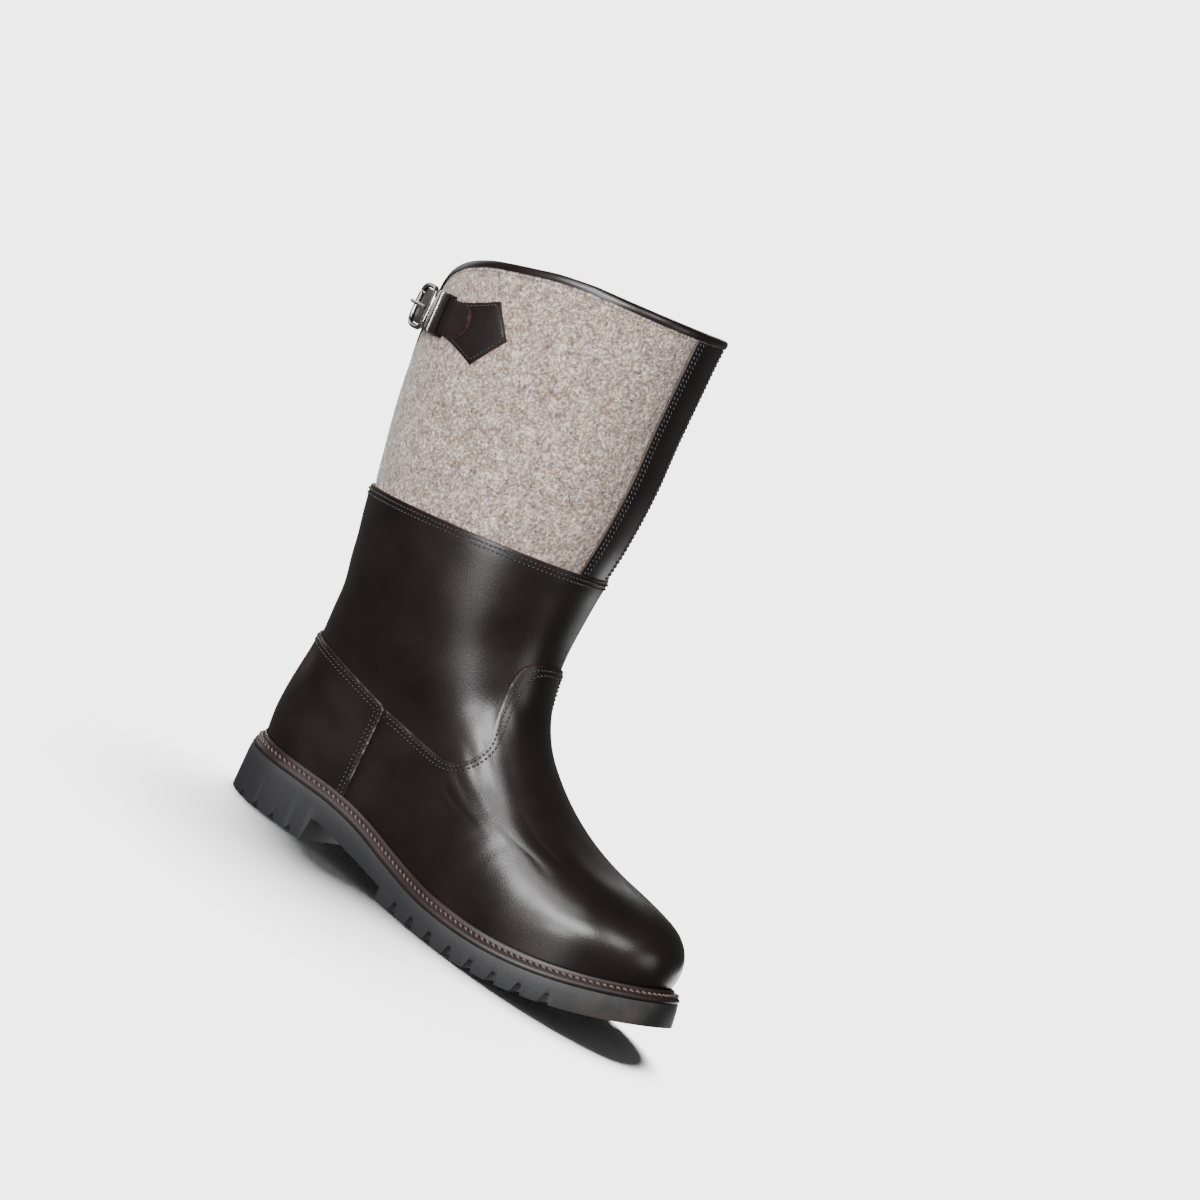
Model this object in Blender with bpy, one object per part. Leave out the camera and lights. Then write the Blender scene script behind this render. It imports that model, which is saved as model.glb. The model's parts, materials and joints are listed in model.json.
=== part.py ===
"""Felt and leather winter boot with a buckled strap at the back, right foot.

X runs from heel to toe, Y towards the inner side of the foot and Z up, in metres.
The origin is on the floor, under the middle of the heel block.
"""
import math

import bpy
import bmesh
import numpy as np
from mathutils import Vector

# Sizes of the sole
OUTSOLE_LENGTH = 0.290
BALL_WIDTH = 0.1066
HEEL_WIDTH = 0.073
HEEL_HEIGHT = 0.026
FOREPART_HEIGHT = 0.0137
TOE_SPRING = 0.024
HEEL_LENGTH = 0.068
HEEL_CENTRE = 0.0406
SHANK_CLEARANCE = 0.0135
SOLE_DRAFT = 0.0015
TOE_BUMPER = 0.0032
HEEL_GROOVE_DEPTH = 0.0034
HEEL_GROOVE_PITCH = 0.0123
LUG_DEPTH = 0.0062
LUG_PITCH = 0.0145
LUG_GAP = 0.0036
SIDE_LUG_LENGTH = 0.021
TREAD_CHANNEL = 0.0045

# Sizes of the welt and the insole
WELT_WIDTH = 0.0060
HEEL_WELT_WIDTH = 0.0045
WELT_EDGE = 0.0026
BEAD_RISE = 0.0068
INSOLE_THICKNESS = 0.0035

# Sizes of the upper and the shaft
BOOT_HEIGHT = 0.343
SHAFT_WIDTH = 0.118
LEATHER = 0.0022
OVERLAY = 0.0013
FELT = 0.0040
FELT_TUCK = 0.012
NOTCH_DEPTH = 0.088
BINDING_WRAP = 0.0010
BINDING_DEPTH = 0.0036
STRIP_WIDTH = 0.030
BACK_BEAD_WIDTH = 0.0030

# Sizes of the strap and its buckle
STRAP_WIDTH = 0.020
STRAP_THICKNESS = 0.0020
TAB_WIDTH = 0.0365
BUCKLE_LENGTH = 0.0245
BUCKLE_HEIGHT = 0.0262
BUCKLE_WIRE = 0.0028
PRONG_WIRE = 0.0020
KEEPER_WIDTH = 0.0052
KEEPER_THICKNESS = 0.0013
LOOP_WIDTH = 0.0050

# Clearance between neighbouring pieces
GAP = 0.0003

# Counts
COLUMNS = 42
STATIONS = 31
FELT_ROWS = 7
WIRE_POINTS = 24

# Edge of the outsole from above, lengths as shares of the outsole's length,
# swing and half widths as shares of the ball width and of the heel width
OUTLINE = (
    # station, swing, ball_half, heel_half
    (0.00, 0.000, 0.000, 0.500),
    (0.14, 0.000, 0.000, 0.500),
    (0.25, -0.008, 0.110, 0.325),
    (0.38, -0.030, 0.283, 0.085),
    (0.50, -0.034, 0.408, 0.000),
    (0.62, -0.014, 0.482, 0.000),
    (0.70, 0.002, 0.500, 0.000),
    (0.80, 0.020, 0.494, 0.000),
    (0.90, 0.038, 0.478, 0.000),
    (1.00, 0.052, 0.450, 0.000),
)
HEEL_ROUND = 0.128
TOE_ROUND = 0.290
HEEL_POWER = 2.1
TOE_POWER = 2.3

# Top line of the outsole: how much of the drop from heel to forepart is done
SOLE_LINE = (
    # station, drop
    (0.00, 0.00),
    (0.22, 0.00),
    (0.28, 0.07),
    (0.34, 0.26),
    (0.42, 0.62),
    (0.50, 0.90),
    (0.57, 1.00),
    (1.00, 1.00),
)
SPRING_START = 0.610

# Loops of the boot from the feather line to the collar. Reaches are shares of the
# outsole's length, rises are shares of the height above the sole at that end, the half
# width is a share of the shaft's width, and nose is how far the rounding of the toe reaches.
# tube is how much the loop is an oval, and follow how much it follows the sole's line.
LOOPS = (
    # name, front_reach, front_rise, back_reach, back_rise, half_width, tube, follow, nose
    ("feather", 0.947, 0.000, 0.028, 0.000, 0.237, 0.00, 1.00, 0.241),
    ("bead", 0.951, 0.031, 0.021, 0.037, 0.242, 0.00, 0.86, 0.234),
    ("toe_face", 0.943, 0.062, 0.016, 0.065, 0.246, 0.00, 0.70, 0.186),
    ("toe_brow", 0.918, 0.087, 0.014, 0.094, 0.250, 0.00, 0.54, 0.128),
    ("toe_crown", 0.877, 0.101, 0.014, 0.117, 0.254, 0.00, 0.40, 0.072),
    ("vamp_low", 0.795, 0.109, 0.015, 0.138, 0.260, 0.00, 0.27, 0.034),
    ("vamp", 0.702, 0.127, 0.016, 0.160, 0.268, 0.05, 0.15, 0.021),
    ("vamp_high", 0.624, 0.159, 0.017, 0.184, 0.280, 0.20, 0.06, 0.017),
    ("instep_low", 0.563, 0.196, 0.017, 0.211, 0.293, 0.42, 0.00, 0.017),
    ("instep", 0.513, 0.235, 0.015, 0.241, 0.308, 0.65, 0.00, 0.017),
    ("instep_high", 0.480, 0.276, 0.012, 0.274, 0.325, 0.85, 0.00, 0.017),
    ("ankle_low", 0.459, 0.323, 0.008, 0.313, 0.348, 0.96, 0.00, 0.017),
    ("ankle", 0.447, 0.375, -0.001, 0.356, 0.376, 1.00, 0.00, 0.017),
    ("ankle_high", 0.441, 0.430, -0.014, 0.406, 0.404, 1.00, 0.00, 0.017),
    ("leather_top", 0.440, 0.537, -0.038, 0.485, 0.438, 1.00, 0.00, 0.017),
    ("felt_low", 0.443, 0.585, -0.057, 0.545, 0.454, 1.00, 0.00, 0.017),
    ("felt", 0.443, 0.650, -0.080, 0.618, 0.470, 1.00, 0.00, 0.017),
    ("felt_mid", 0.439, 0.721, -0.099, 0.700, 0.488, 1.00, 0.00, 0.017),
    ("strap", 0.429, 0.799, -0.111, 0.785, 0.498, 1.00, 0.00, 0.017),
    ("strap_high", 0.422, 0.874, -0.113, 0.852, 0.497, 1.00, 0.00, 0.017),
    ("collar_low", 0.416, 0.942, -0.112, 0.905, 0.488, 1.00, 0.00, 0.017),
    ("collar", 0.412, 1.000, -0.110, 0.943, 0.480, 1.00, 0.00, 0.017),
)
LEATHER_TOP = 14
OVAL_POWER = 2.1
ARCH_POWER = 2.2
WIDEST_SHARE = 0.34
WIDEST_RISE = 0.020
TUCK = 0.045
COLUMN_CROWDING = 0.33

# Notch at the back of the collar: drop as a share of its depth
NOTCH = (
    # across, drop
    (0.00, 1.000),
    (0.08, 0.990),
    (0.16, 0.950),
    (0.22, 0.880),
    (0.27, 0.775),
    (0.31, 0.650),
    (0.35, 0.520),
    (0.39, 0.405),
    (0.44, 0.340),
    (0.52, 0.295),
    (0.62, 0.265),
    (0.72, 0.236),
    (0.82, 0.200),
    (0.90, 0.160),
    (0.96, 0.105),
    (1.00, 0.000),
)

# Edge of the vamp seen from the side, reach and rise as for the loops
VAMP_TOP = 0.417
COUNTER_TOP = 0.247
VAMP_EDGE = (
    # reach, rise
    (0.268, -0.200),
    (0.268, 0.048),
    (0.2525, 0.213),
    (0.330, 0.206),
    (0.395, 0.202),
    (0.430, 0.206),
    (0.454, 0.221),
    (0.4695, 0.243),
    (0.4715, 0.262),
    (0.464, 0.284),
    (0.4535, 0.310),
    (0.446, 0.336),
    (0.4415, 0.358),
    (0.4405, 0.378),
    (0.444, 0.394),
    (0.455, 0.407),
    (1.100, VAMP_TOP),
)
COUNTER_EDGE = (
    # reach, rise
    (0.266, -0.200),
    (0.266, 0.048),
    (0.2505, 0.2145),
    (0.200, 0.2225),
    (0.120, 0.235),
    (0.020, 0.244),
    (-0.100, COUNTER_TOP),
)

# Places along the strap, as degrees round the shaft from its front
STRAP_TIP = 110.0
TAB_POINT = 91.5
TAB_SHOULDER = 102.5
TAB_NECK = 124.5
TAB_END = 150.0
BUCKLE_PLACE = 144.6
BUCKLE_TILT = 7.0
KEEPER_PLACE = 132.0
LOOP_PLACE = 127.4
STRAP_RISE_BACK = 0.790
STRAP_RISE_FRONT = 0.831

MATERIALS = {
    # name: (colour, roughness, metallic)
    "outsole_rubber": ((0.030, 0.031, 0.033), 0.75, 0.0),
    "welt_leather": ((0.060, 0.030, 0.022), 0.50, 0.0),
    "insole_felt": ((0.45, 0.40, 0.34), 0.95, 0.0),
    "boot_leather": ((0.026, 0.014, 0.011), 0.35, 0.0),
    "shaft_felt": ((0.36, 0.32, 0.29), 0.95, 0.0),
    "strap_leather": ((0.022, 0.014, 0.011), 0.45, 0.0),
    "buckle_metal": ((0.55, 0.54, 0.52), 0.28, 1.0),
}


def column_of(table, index):
    """Returns one column of a table as an array."""
    return np.array([row[index] for row in table], float)


def smooth_read(stations, values, place):
    """Reads a table along a smooth curve through its points that adds no new bulges."""
    steps = np.diff(stations)
    slopes = np.diff(values) / steps
    tangents = np.zeros(len(values))
    for k in range(1, len(values) - 1):
        if slopes[k - 1] * slopes[k] > 0.0:
            tangents[k] = 2.0 * slopes[k - 1] * slopes[k] / (slopes[k - 1] + slopes[k])
    tangents[0], tangents[-1] = slopes[0], slopes[-1]
    place = np.clip(place, stations[0], stations[-1])
    k = np.clip(np.searchsorted(stations, place, side="right") - 1, 0, len(steps) - 1)
    u = (place - stations[k]) / steps[k]
    return (values[k] * (1 + 2 * u) * (1 - u) ** 2 + values[k + 1] * u ** 2 * (3 - 2 * u)
            + tangents[k] * steps[k] * u * (1 - u) ** 2 - tangents[k + 1] * steps[k] * u ** 2 * (1 - u))


def floor_line(x):
    """Height of the tread's lowest faces: flat, then lifted by the toe spring."""
    start = SPRING_START * OUTSOLE_LENGTH
    lift = np.clip((np.asarray(x, float) - start) / (OUTSOLE_LENGTH - start), 0.0, 1.1)
    return TOE_SPRING * lift ** 2


def sole_top(x):
    """Height of the outsole's upper face at a distance from the back of the heel."""
    drop = smooth_read(column_of(SOLE_LINE, 0), column_of(SOLE_LINE, 1), np.asarray(x) / OUTSOLE_LENGTH)
    return HEEL_HEIGHT + (FOREPART_HEIGHT - HEEL_HEIGHT) * drop + floor_line(x)


def outline_shape(x):
    """Swing and half width of the outsole before its ends are rounded."""
    share = np.asarray(x, float) / OUTSOLE_LENGTH
    stations = column_of(OUTLINE, 0)
    swing = BALL_WIDTH * smooth_read(stations, column_of(OUTLINE, 1), share)
    ball = BALL_WIDTH * smooth_read(stations, column_of(OUTLINE, 2), share)
    heel = HEEL_WIDTH * smooth_read(stations, column_of(OUTLINE, 3), share)
    return swing, ball + heel


def end_round(distance, reach, power):
    """Share of the width left at a distance from a rounded end."""
    near = np.clip(1.0 - np.asarray(distance, float) / reach, 0.0, 1.0)
    return (1.0 - near ** power) ** (1.0 / power)


def welt_width(x):
    """Width of the welt outside the upper, narrower round the heel."""
    share = np.clip((np.asarray(x, float) / OUTSOLE_LENGTH - 0.25) / 0.25, 0.0, 1.0)
    return HEEL_WELT_WIDTH + (WELT_WIDTH - HEEL_WELT_WIDTH) * share


def bumper(share):
    """How far the toe's foot stands out past its top edge, at a share of the length."""
    return TOE_BUMPER * float(np.clip((share - 0.70) / 0.30, 0.0, 1.0)) ** 1.5


def outline_point(turn, inset):
    """Point of the outsole's edge, moved inwards by an inset, at an angle round the boot."""
    share = 0.5 * (1.0 + math.cos(turn))
    x = inset + (OUTSOLE_LENGTH - 2.0 * inset) * share
    swing, half = outline_shape(x)
    rounding = (end_round(x - inset, HEEL_ROUND * OUTSOLE_LENGTH, HEEL_POWER)
                * end_round(OUTSOLE_LENGTH - inset - x, TOE_ROUND * OUTSOLE_LENGTH, TOE_POWER))
    side = 0.0 if abs(math.sin(turn)) < 1e-9 else math.copysign(1.0, math.sin(turn))
    return float(x), float(swing + side * (half - inset) * rounding)


def column_angle(column):
    """Angle round the boot of a column, 0 at the toe, with columns crowded at the back."""
    even = 2.0 * math.pi * column / COLUMNS
    return even + COLUMN_CROWDING * math.sin(even)


def column_at(degrees):
    """Column, also between whole ones, at an angle round the boot."""
    columns = np.arange(COLUMNS + 1)
    angles = [math.degrees(column_angle(c)) for c in columns]
    return float(np.interp(degrees % 360.0, angles, columns))


def loop_value(level, name):
    """Value of a column of LOOPS at a level, also between its rows."""
    index = {"front_reach": 1, "front_rise": 2, "back_reach": 3, "back_rise": 4,
             "half_width": 5, "tube": 6, "follow": 7, "nose": 8}[name]
    return float(np.interp(level, np.arange(len(LOOPS)), column_of(LOOPS, index)))


def rise_at(reach, rise):
    """Height of a share of the boot's height above the sole, at a share of its length."""
    base = float(sole_top(np.clip(reach, 0.0, 1.0) * OUTSOLE_LENGTH))
    return base + rise * (BOOT_HEIGHT - base)


def crest_height(x):
    """Height of the top line of the foot, continued upwards under the shaft."""
    rows = range(11, 3, -1)
    reach = np.array([LOOPS[r][1] * OUTSOLE_LENGTH for r in rows])
    height = np.array([rise_at(1.0, LOOPS[r][2]) for r in rows])
    slope = (height[0] - height[3]) / (reach[3] - reach[0])
    return np.where(x < reach[0], height[0] + slope * (reach[0] - x), np.interp(x, reach, height))


def form_point(level, turn):
    """Point of the base form: the inside of the leather and the outside of the felt."""
    share = 0.5 * (1.0 + math.cos(turn))
    front = loop_value(level, "front_reach") * OUTSOLE_LENGTH
    back = loop_value(level, "back_reach") * OUTSOLE_LENGTH
    front_z = rise_at(1.0, loop_value(level, "front_rise"))
    back_z = rise_at(0.0, loop_value(level, "back_rise"))
    x = back + share * (front - back)
    low_front = LOOPS[0][1] * OUTSOLE_LENGTH
    low_back = LOOPS[0][3] * OUTSOLE_LENGTH
    low_x = low_back + share * (low_front - low_back)
    chord = float(sole_top(low_back) + share * (sole_top(low_front) - sole_top(low_back)))
    z = back_z + share * (front_z - back_z) + loop_value(level, "follow") * (float(sole_top(low_x)) - chord)
    swing, half = outline_shape(x)
    base = float(sole_top(x))
    crest = float(crest_height(x))
    widest = base + min(WIDEST_RISE, WIDEST_SHARE * (crest - base))
    high = np.clip((z - widest) / (crest - widest), 0.0, 1.0)
    low = np.clip((widest - z) / (widest - base), 0.0, 1.0)
    arch = (1.0 - high ** ARCH_POWER) ** (1.0 / ARCH_POWER) * (1.0 - TUCK * low ** 2)
    rounding = (end_round(x - back, HEEL_ROUND * OUTSOLE_LENGTH, HEEL_POWER)
                * end_round(front - x, loop_value(level, "nose") * OUTSOLE_LENGTH, TOE_POWER))
    cover = LEATHER + OVERLAY + 2.0 * GAP
    foot = (half - welt_width(x) - cover) * arch * rounding
    across = abs(2.0 * share - 1.0)
    oval = loop_value(level, "half_width") * SHAFT_WIDTH * (1.0 - across ** OVAL_POWER) ** (1.0 / OVAL_POWER)
    tube = loop_value(level, "tube")
    side = 0.0 if abs(math.sin(turn)) < 1e-9 else math.copysign(1.0, math.sin(turn))
    y = float(swing) * (1.0 - tube) + side * float(foot * (1.0 - tube) + oval * tube)
    return np.array([x, y, z])


def form_normal(level, turn):
    """Outward direction of the base form."""
    step_turn, step_level = 0.03, 0.15
    low, high = max(level - step_level, 0.0), min(level + step_level, len(LOOPS) - 1.0)
    along = form_point(level, turn + step_turn) - form_point(level, turn - step_turn)
    up = form_point(high, turn) - form_point(low, turn)
    normal = np.cross(along, up)
    if level == 0:
        normal[2] = 0.0
    return normal / np.linalg.norm(normal)


FORM = np.array([[form_point(r, column_angle(c)) for c in range(COLUMNS)] for r in range(len(LOOPS))])
NORMALS = np.array([[form_normal(r, column_angle(c)) for c in range(COLUMNS)] for r in range(len(LOOPS))])


def blend_grid(grid, column, level):
    """Reads a grid of the form between its rows and columns."""
    column = column % COLUMNS
    c, r = int(column), min(int(level), len(LOOPS) - 2)
    u, v = column - c, level - r
    after = (c + 1) % COLUMNS
    low = grid[r][c] * (1 - u) + grid[r][after] * u
    high = grid[r + 1][c] * (1 - u) + grid[r + 1][after] * u
    return low * (1 - v) + high * v


def skin(column, level, offset):
    """Point at an offset outwards from the base form."""
    point = blend_grid(FORM, column, level) + offset * blend_grid(NORMALS, column, level)
    if level <= 0.0:
        point[2] = float(sole_top(point[0])) + GAP
    return point


def level_at(column, height):
    """Level of the form that has a given height on a column."""
    heights = [blend_grid(FORM, column, r)[2] for r in range(len(LOOPS))]
    return float(np.interp(height, heights, np.arange(len(LOOPS))))


def collar_height(column):
    """Height of the collar's edge, with the notch at the back."""
    point = blend_grid(FORM, column, len(LOOPS) - 1)
    middle = 0.5 * (FORM[-1][0][0] + FORM[-1][COLUMNS // 2][0])
    if point[0] > middle:
        return point[2]
    across = abs(point[1]) / np.abs(FORM[-1][:, 1]).max()
    drop = float(smooth_read(column_of(NOTCH, 0), column_of(NOTCH, 1), across))
    return point[2] - NOTCH_DEPTH * drop


def leather_outside():
    """Offset of the outer face of the leather upper."""
    return GAP + LEATHER


def overlay_outside():
    """Offset of the outer face of the vamp and the counter."""
    return leather_outside() + GAP + OVERLAY


def new_object(name, vertices, faces, material, collection, smooth_angle=40.0):
    """Makes a mesh object from points and faces, with its faces pointing out."""
    mesh = bpy.data.meshes.new(name)
    mesh.from_pydata([(p[0] - HEEL_CENTRE, p[1], p[2]) for p in vertices], [], faces)
    shell = bmesh.new()
    shell.from_mesh(mesh)
    bmesh.ops.triangulate(shell, faces=shell.faces[:])
    bmesh.ops.recalc_face_normals(shell, faces=shell.faces[:])
    shell.to_mesh(mesh)
    shell.free()
    mesh.shade_smooth()
    mesh.set_sharp_from_angle(angle=math.radians(smooth_angle))
    thing = bpy.data.objects.new(name, mesh)
    collection.objects.link(thing)
    if material is not None:
        mesh.materials.append(material)
    return thing


def tube_faces(rings, count, closed_ways, closed_rings):
    """Faces between neighbouring rings of points."""
    faces = []
    for r in range(rings if closed_rings else rings - 1):
        for k in range(count if closed_ways else count - 1):
            a, b = r * count + k, r * count + (k + 1) % count
            c, d = ((r + 1) % rings) * count + (k + 1) % count, ((r + 1) % rings) * count + k
            faces.append((a, b, c, d))
    return faces


def wall(name, columns, levels, inner, outer, material, collection):
    """A wall on the form between two offsets, open strip or closed ring.

    levels(column) gives the levels from bottom to top, inner and outer(column, level) offsets.
    """
    closed = abs(columns[-1] - columns[0] - (COLUMNS - 1)) < 1e-6
    rings = []
    for column in columns:
        heights = levels(column)
        outside = [skin(column, v, outer(column, v)) for v in heights]
        inside = [skin(column, v, inner(column, v)) for v in reversed(heights)]
        rings.append(outside + inside)
    count = len(rings[0])
    faces = tube_faces(len(rings), count, True, closed)
    if not closed:
        rows = count // 2
        for start in (0, (len(rings) - 1) * count):
            for k in range(rows - 1):
                faces.append((start + k, start + k + 1, start + count - 2 - k, start + count - 1 - k))
    return new_object(name, [p for ring in rings for p in ring], faces, material, collection)


def steady(value):
    """An offset that is the same everywhere."""
    return lambda column, level: value


def slab(name, top, bottom, material, collection):
    """A slab between two rings of points that run heel to toe and back."""
    count = len(top)
    faces = [(k, (k + 1) % count, count + (k + 1) % count, count + k) for k in range(count)]
    for base in (0, count):
        faces.append((base, base + 1, base + count - 1))
        for k in range(1, count // 2 - 1):
            faces.append((base + k, base + k + 1, base + count - k - 1, base + count - k))
        middle = count // 2
        faces.append((base + middle - 1, base + middle, base + middle + 1))
    return new_object(name, list(top) + list(bottom), faces, material, collection)


def prism(name, outline, low, high, axis, collection):
    """A cutter: an outline in the plane across an axis, run from low to high along it."""
    count = len(outline)
    points = []
    for reach in (low, high):
        for u, v in outline:
            points.append((u, reach, v) if axis == "Y" else (u, v, reach))
    faces = [tuple(range(count)), tuple(range(2 * count - 1, count - 1, -1))]
    faces += [(k, (k + 1) % count, count + (k + 1) % count, count + k) for k in range(count)]
    cutter = new_object(name, points, faces, None, collection)
    cutter.hide_render = True
    cutter.display_type = "WIRE"
    return cutter


def apply_boolean(target, cutter, operation):
    """Applies an exact Boolean to an object."""
    modifier = target.modifiers.new(cutter.name, "BOOLEAN")
    modifier.operation = operation
    modifier.solver = "EXACT"
    modifier.object = cutter
    evaluated = target.evaluated_get(bpy.context.evaluated_depsgraph_get())
    mesh = bpy.data.meshes.new_from_object(evaluated)
    target.modifiers.clear()
    old = target.data
    target.data = mesh
    mesh.name = target.name
    bpy.data.meshes.remove(old)
    cleaned = bmesh.new()
    cleaned.from_mesh(mesh)
    bmesh.ops.remove_doubles(cleaned, verts=cleaned.verts[:], dist=1e-6)
    bmesh.ops.dissolve_degenerate(cleaned, edges=cleaned.edges[:], dist=1e-6)
    bmesh.ops.triangulate(cleaned, faces=cleaned.faces[:])
    cleaned.to_mesh(mesh)
    cleaned.free()
    return target


def outline_ring(inset, height):
    """Ring of points round the outsole's edge, with an inset and a height for each place."""
    ring = []
    for k in range(2 * STATIONS):
        turn = math.pi + math.pi * k / STATIONS
        x, y = outline_point(turn, inset(0.5 * (1.0 + math.cos(turn))))
        ring.append((x, y, float(height(x))))
    return ring


def shank_outline():
    """Side view of the arch cut between the heel block and the forepart."""
    front = HEEL_LENGTH + 0.21 * OUTSOLE_LENGTH
    below = -0.01
    return ((HEEL_LENGTH, below), (HEEL_LENGTH + 0.001, SHANK_CLEARANCE),
            (HEEL_LENGTH + 0.006, SHANK_CLEARANCE + 0.0006),
            (HEEL_LENGTH + 0.40 * (front - HEEL_LENGTH), 0.86 * SHANK_CLEARANCE),
            (front, LUG_DEPTH + 0.0010), (front + 0.0022, below))


def groove_outline(x, width, depth, mouth):
    """Side view of one tread groove: narrow at its root and wide at its mouth."""
    floor = float(floor_line(x))
    slope = float(floor_line(x + 0.001) - floor_line(x - 0.001)) / 0.002
    root, reach = 0.5 * width, 0.5 * mouth
    return [(x + u, floor + v + slope * u)
            for u, v in ((-reach - 0.0008, -0.003), (-reach, 0.0), (-root, depth), (root, depth),
                         (reach, 0.0), (reach + 0.0008, -0.003))]


def lug_places():
    """Distances from the heel of the forepart's grooves."""
    first = HEEL_LENGTH + 0.21 * OUTSOLE_LENGTH + 0.0022 + LUG_PITCH - 0.5 * LUG_GAP
    last = 0.850 * OUTSOLE_LENGTH
    count = int((last - first) / LUG_PITCH) + 1
    return [first + k * LUG_PITCH for k in range(count)]


def channel_ring(inset, start, end, height):
    """Lane of the tread channel that follows one edge of the forepart."""
    lanes = []
    for side in (1.0, -1.0):
        lane = []
        for k in range(13):
            x = start + (end - start) * k / 12.0
            swing, half = outline_shape(x)
            tip = end_round(OUTSOLE_LENGTH - inset - x, TOE_ROUND * OUTSOLE_LENGTH, TOE_POWER)
            lane.append((x, float(swing + side * (half - inset) * tip), float(height(x))))
        lanes.append(lane)
    return lanes


def cut_channel(sole, start, end, depth, inset, tag, cutters):
    """Cuts a channel along each edge that parts the side lugs from the middle blocks."""
    outer = channel_ring(inset, start, end, floor_line)
    inner = channel_ring(inset + TREAD_CHANNEL, start, end, floor_line)
    for side in (0, 1):
        points, count = [], len(outer[side])
        for drop in (-0.004, depth):
            points += [(x, y, z + drop) for x, y, z in outer[side]]
            points += [(x, y, z + drop) for x, y, z in reversed(inner[side])]
        ring = 2 * count
        faces = [(k, (k + 1) % ring, ring + (k + 1) % ring, ring + k) for k in range(ring)]
        for base in (0, ring):
            faces += [(base + k, base + k + 1, base + ring - 2 - k, base + ring - 1 - k)
                      for k in range(count - 1)]
        cutter = new_object("cut_channel_%s_%d" % (tag, side), points, faces, None, cutters)
        cutter.hide_render = True
        cutter.display_type = "WIRE"
        apply_boolean(sole, cutter, "DIFFERENCE")


def build_outsole(materials, parts, cutters):
    """One moulded rubber unit: heel block, arch, forepart and lugs."""
    top = outline_ring(bumper, sole_top)
    middle = outline_ring(lambda share: 0.6 * bumper(share), lambda x: sole_top(x) - 0.35 * FOREPART_HEIGHT)
    bottom = outline_ring(lambda share: SOLE_DRAFT * (1.0 - share), floor_line)
    count = len(top)
    points = top + middle + bottom
    faces = tube_faces(3, count, True, False)
    for base in (0, 2 * count):
        half = count // 2
        faces.append((base, base + 1, base + count - 1))
        faces += [(base + k, base + k + 1, base + count - k - 1, base + count - k) for k in range(1, half - 1)]
        faces.append((base + half - 1, base + half, base + half + 1))
    sole = new_object("outsole", points, faces, materials["outsole_rubber"], parts)
    wide = BALL_WIDTH
    apply_boolean(sole, prism("cut_shank", shank_outline(), -wide, wide, "Y", cutters), "DIFFERENCE")
    for k, x in enumerate(lug_places()):
        outline = groove_outline(x, 0.6 * LUG_GAP, LUG_DEPTH, 1.55 * LUG_GAP)
        apply_boolean(sole, prism("cut_lug_%d" % k, outline, -wide, wide, "Y", cutters), "DIFFERENCE")
    for k in (-1.5, -0.5, 0.5, 1.5):
        x = HEEL_CENTRE + k * HEEL_GROOVE_PITCH
        outline = groove_outline(x, 0.0008, HEEL_GROOVE_DEPTH, 0.0042)
        apply_boolean(sole, prism("cut_heel_%d" % int(2 * k + 3), outline, -wide, wide, "Y", cutters),
                      "DIFFERENCE")
    start = HEEL_LENGTH + 0.21 * OUTSOLE_LENGTH - 0.004
    cut_channel(sole, start, 0.865 * OUTSOLE_LENGTH, LUG_DEPTH, SIDE_LUG_LENGTH, "fore", cutters)
    return sole


def build_welt(materials, parts):
    """Storm welt: a bead against the upper, a groove and a sloping stitched band."""
    outer_upper = overlay_outside() + GAP
    rings = []
    for c in range(COLUMNS):
        turn = column_angle(c)
        low, above = skin(c, 0.0, outer_upper), skin(c, 1.0, outer_upper)
        lean = (above - low) / (above[2] - low[2])
        share = 0.5 * (1.0 + math.cos(turn))
        edge = np.array(outline_point(turn, bumper(share) + 2.0 * GAP) + (0.0,))
        base = np.array([low[0], low[1], 0.0])
        section = []
        for reach, rise in ((0.0, 0.0), (1.0, 0.0), (1.0, WELT_EDGE), (0.34, 0.62 * BEAD_RISE),
                            (0.27, 0.50 * BEAD_RISE), (0.22, 0.86 * BEAD_RISE), (0.08, BEAD_RISE)):
            spot = base + reach * (edge - base) + (1.0 - reach) * rise * lean
            section.append((spot[0], spot[1], float(sole_top(spot[0])) + GAP + rise))
        section.append(tuple(low + 0.93 * BEAD_RISE * lean))
        rings.append(section)
    faces = tube_faces(COLUMNS, len(rings[0]), True, True)
    return new_object("welt", [p for ring in rings for p in ring], faces, materials["welt_leather"], parts)


def build_insole(materials, parts):
    """Felt insole on the sole, just inside the upper."""
    top, bottom = [], []
    for k in range(COLUMNS):
        c = (k + COLUMNS // 2) % COLUMNS
        point = skin(c, 0.0, -GAP)
        bottom.append(tuple(point))
        top.append((point[0], point[1], point[2] + INSOLE_THICKNESS))
    return slab("insole", top, bottom, materials["insole_felt"], parts)


def build_upper(materials, parts):
    """The leather foot and lower shaft in one hollow solid."""
    levels = list(range(LEATHER_TOP + 1))
    return wall("upper", list(range(COLUMNS)), lambda column: levels,
                steady(GAP), steady(leather_outside()), materials["boot_leather"], parts)


def felt_levels(column):
    """Levels of the felt shaft on one column, from inside the leather to the collar."""
    seam = blend_grid(FORM, column, LEATHER_TOP)[2]
    low, high = seam - FELT_TUCK, collar_height(column)
    return [level_at(column, low + (high - low) * k / FELT_ROWS) for k in range(FELT_ROWS + 1)]


def build_felt_shaft(materials, parts):
    """Felt shaft: one thick wall, its lower edge tucked inside the leather."""
    return wall("felt_shaft", list(range(COLUMNS)), felt_levels, steady(-FELT),
                lambda column, level: -GAP if level < LEATHER_TOP + 0.5 else 0.0,
                materials["shaft_felt"], parts)


def side_outline(table):
    """Side view outline from a table of reaches and rises, in metres."""
    return [(reach * OUTSOLE_LENGTH, rise_at(0.5, rise)) for reach, rise in table]


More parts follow.
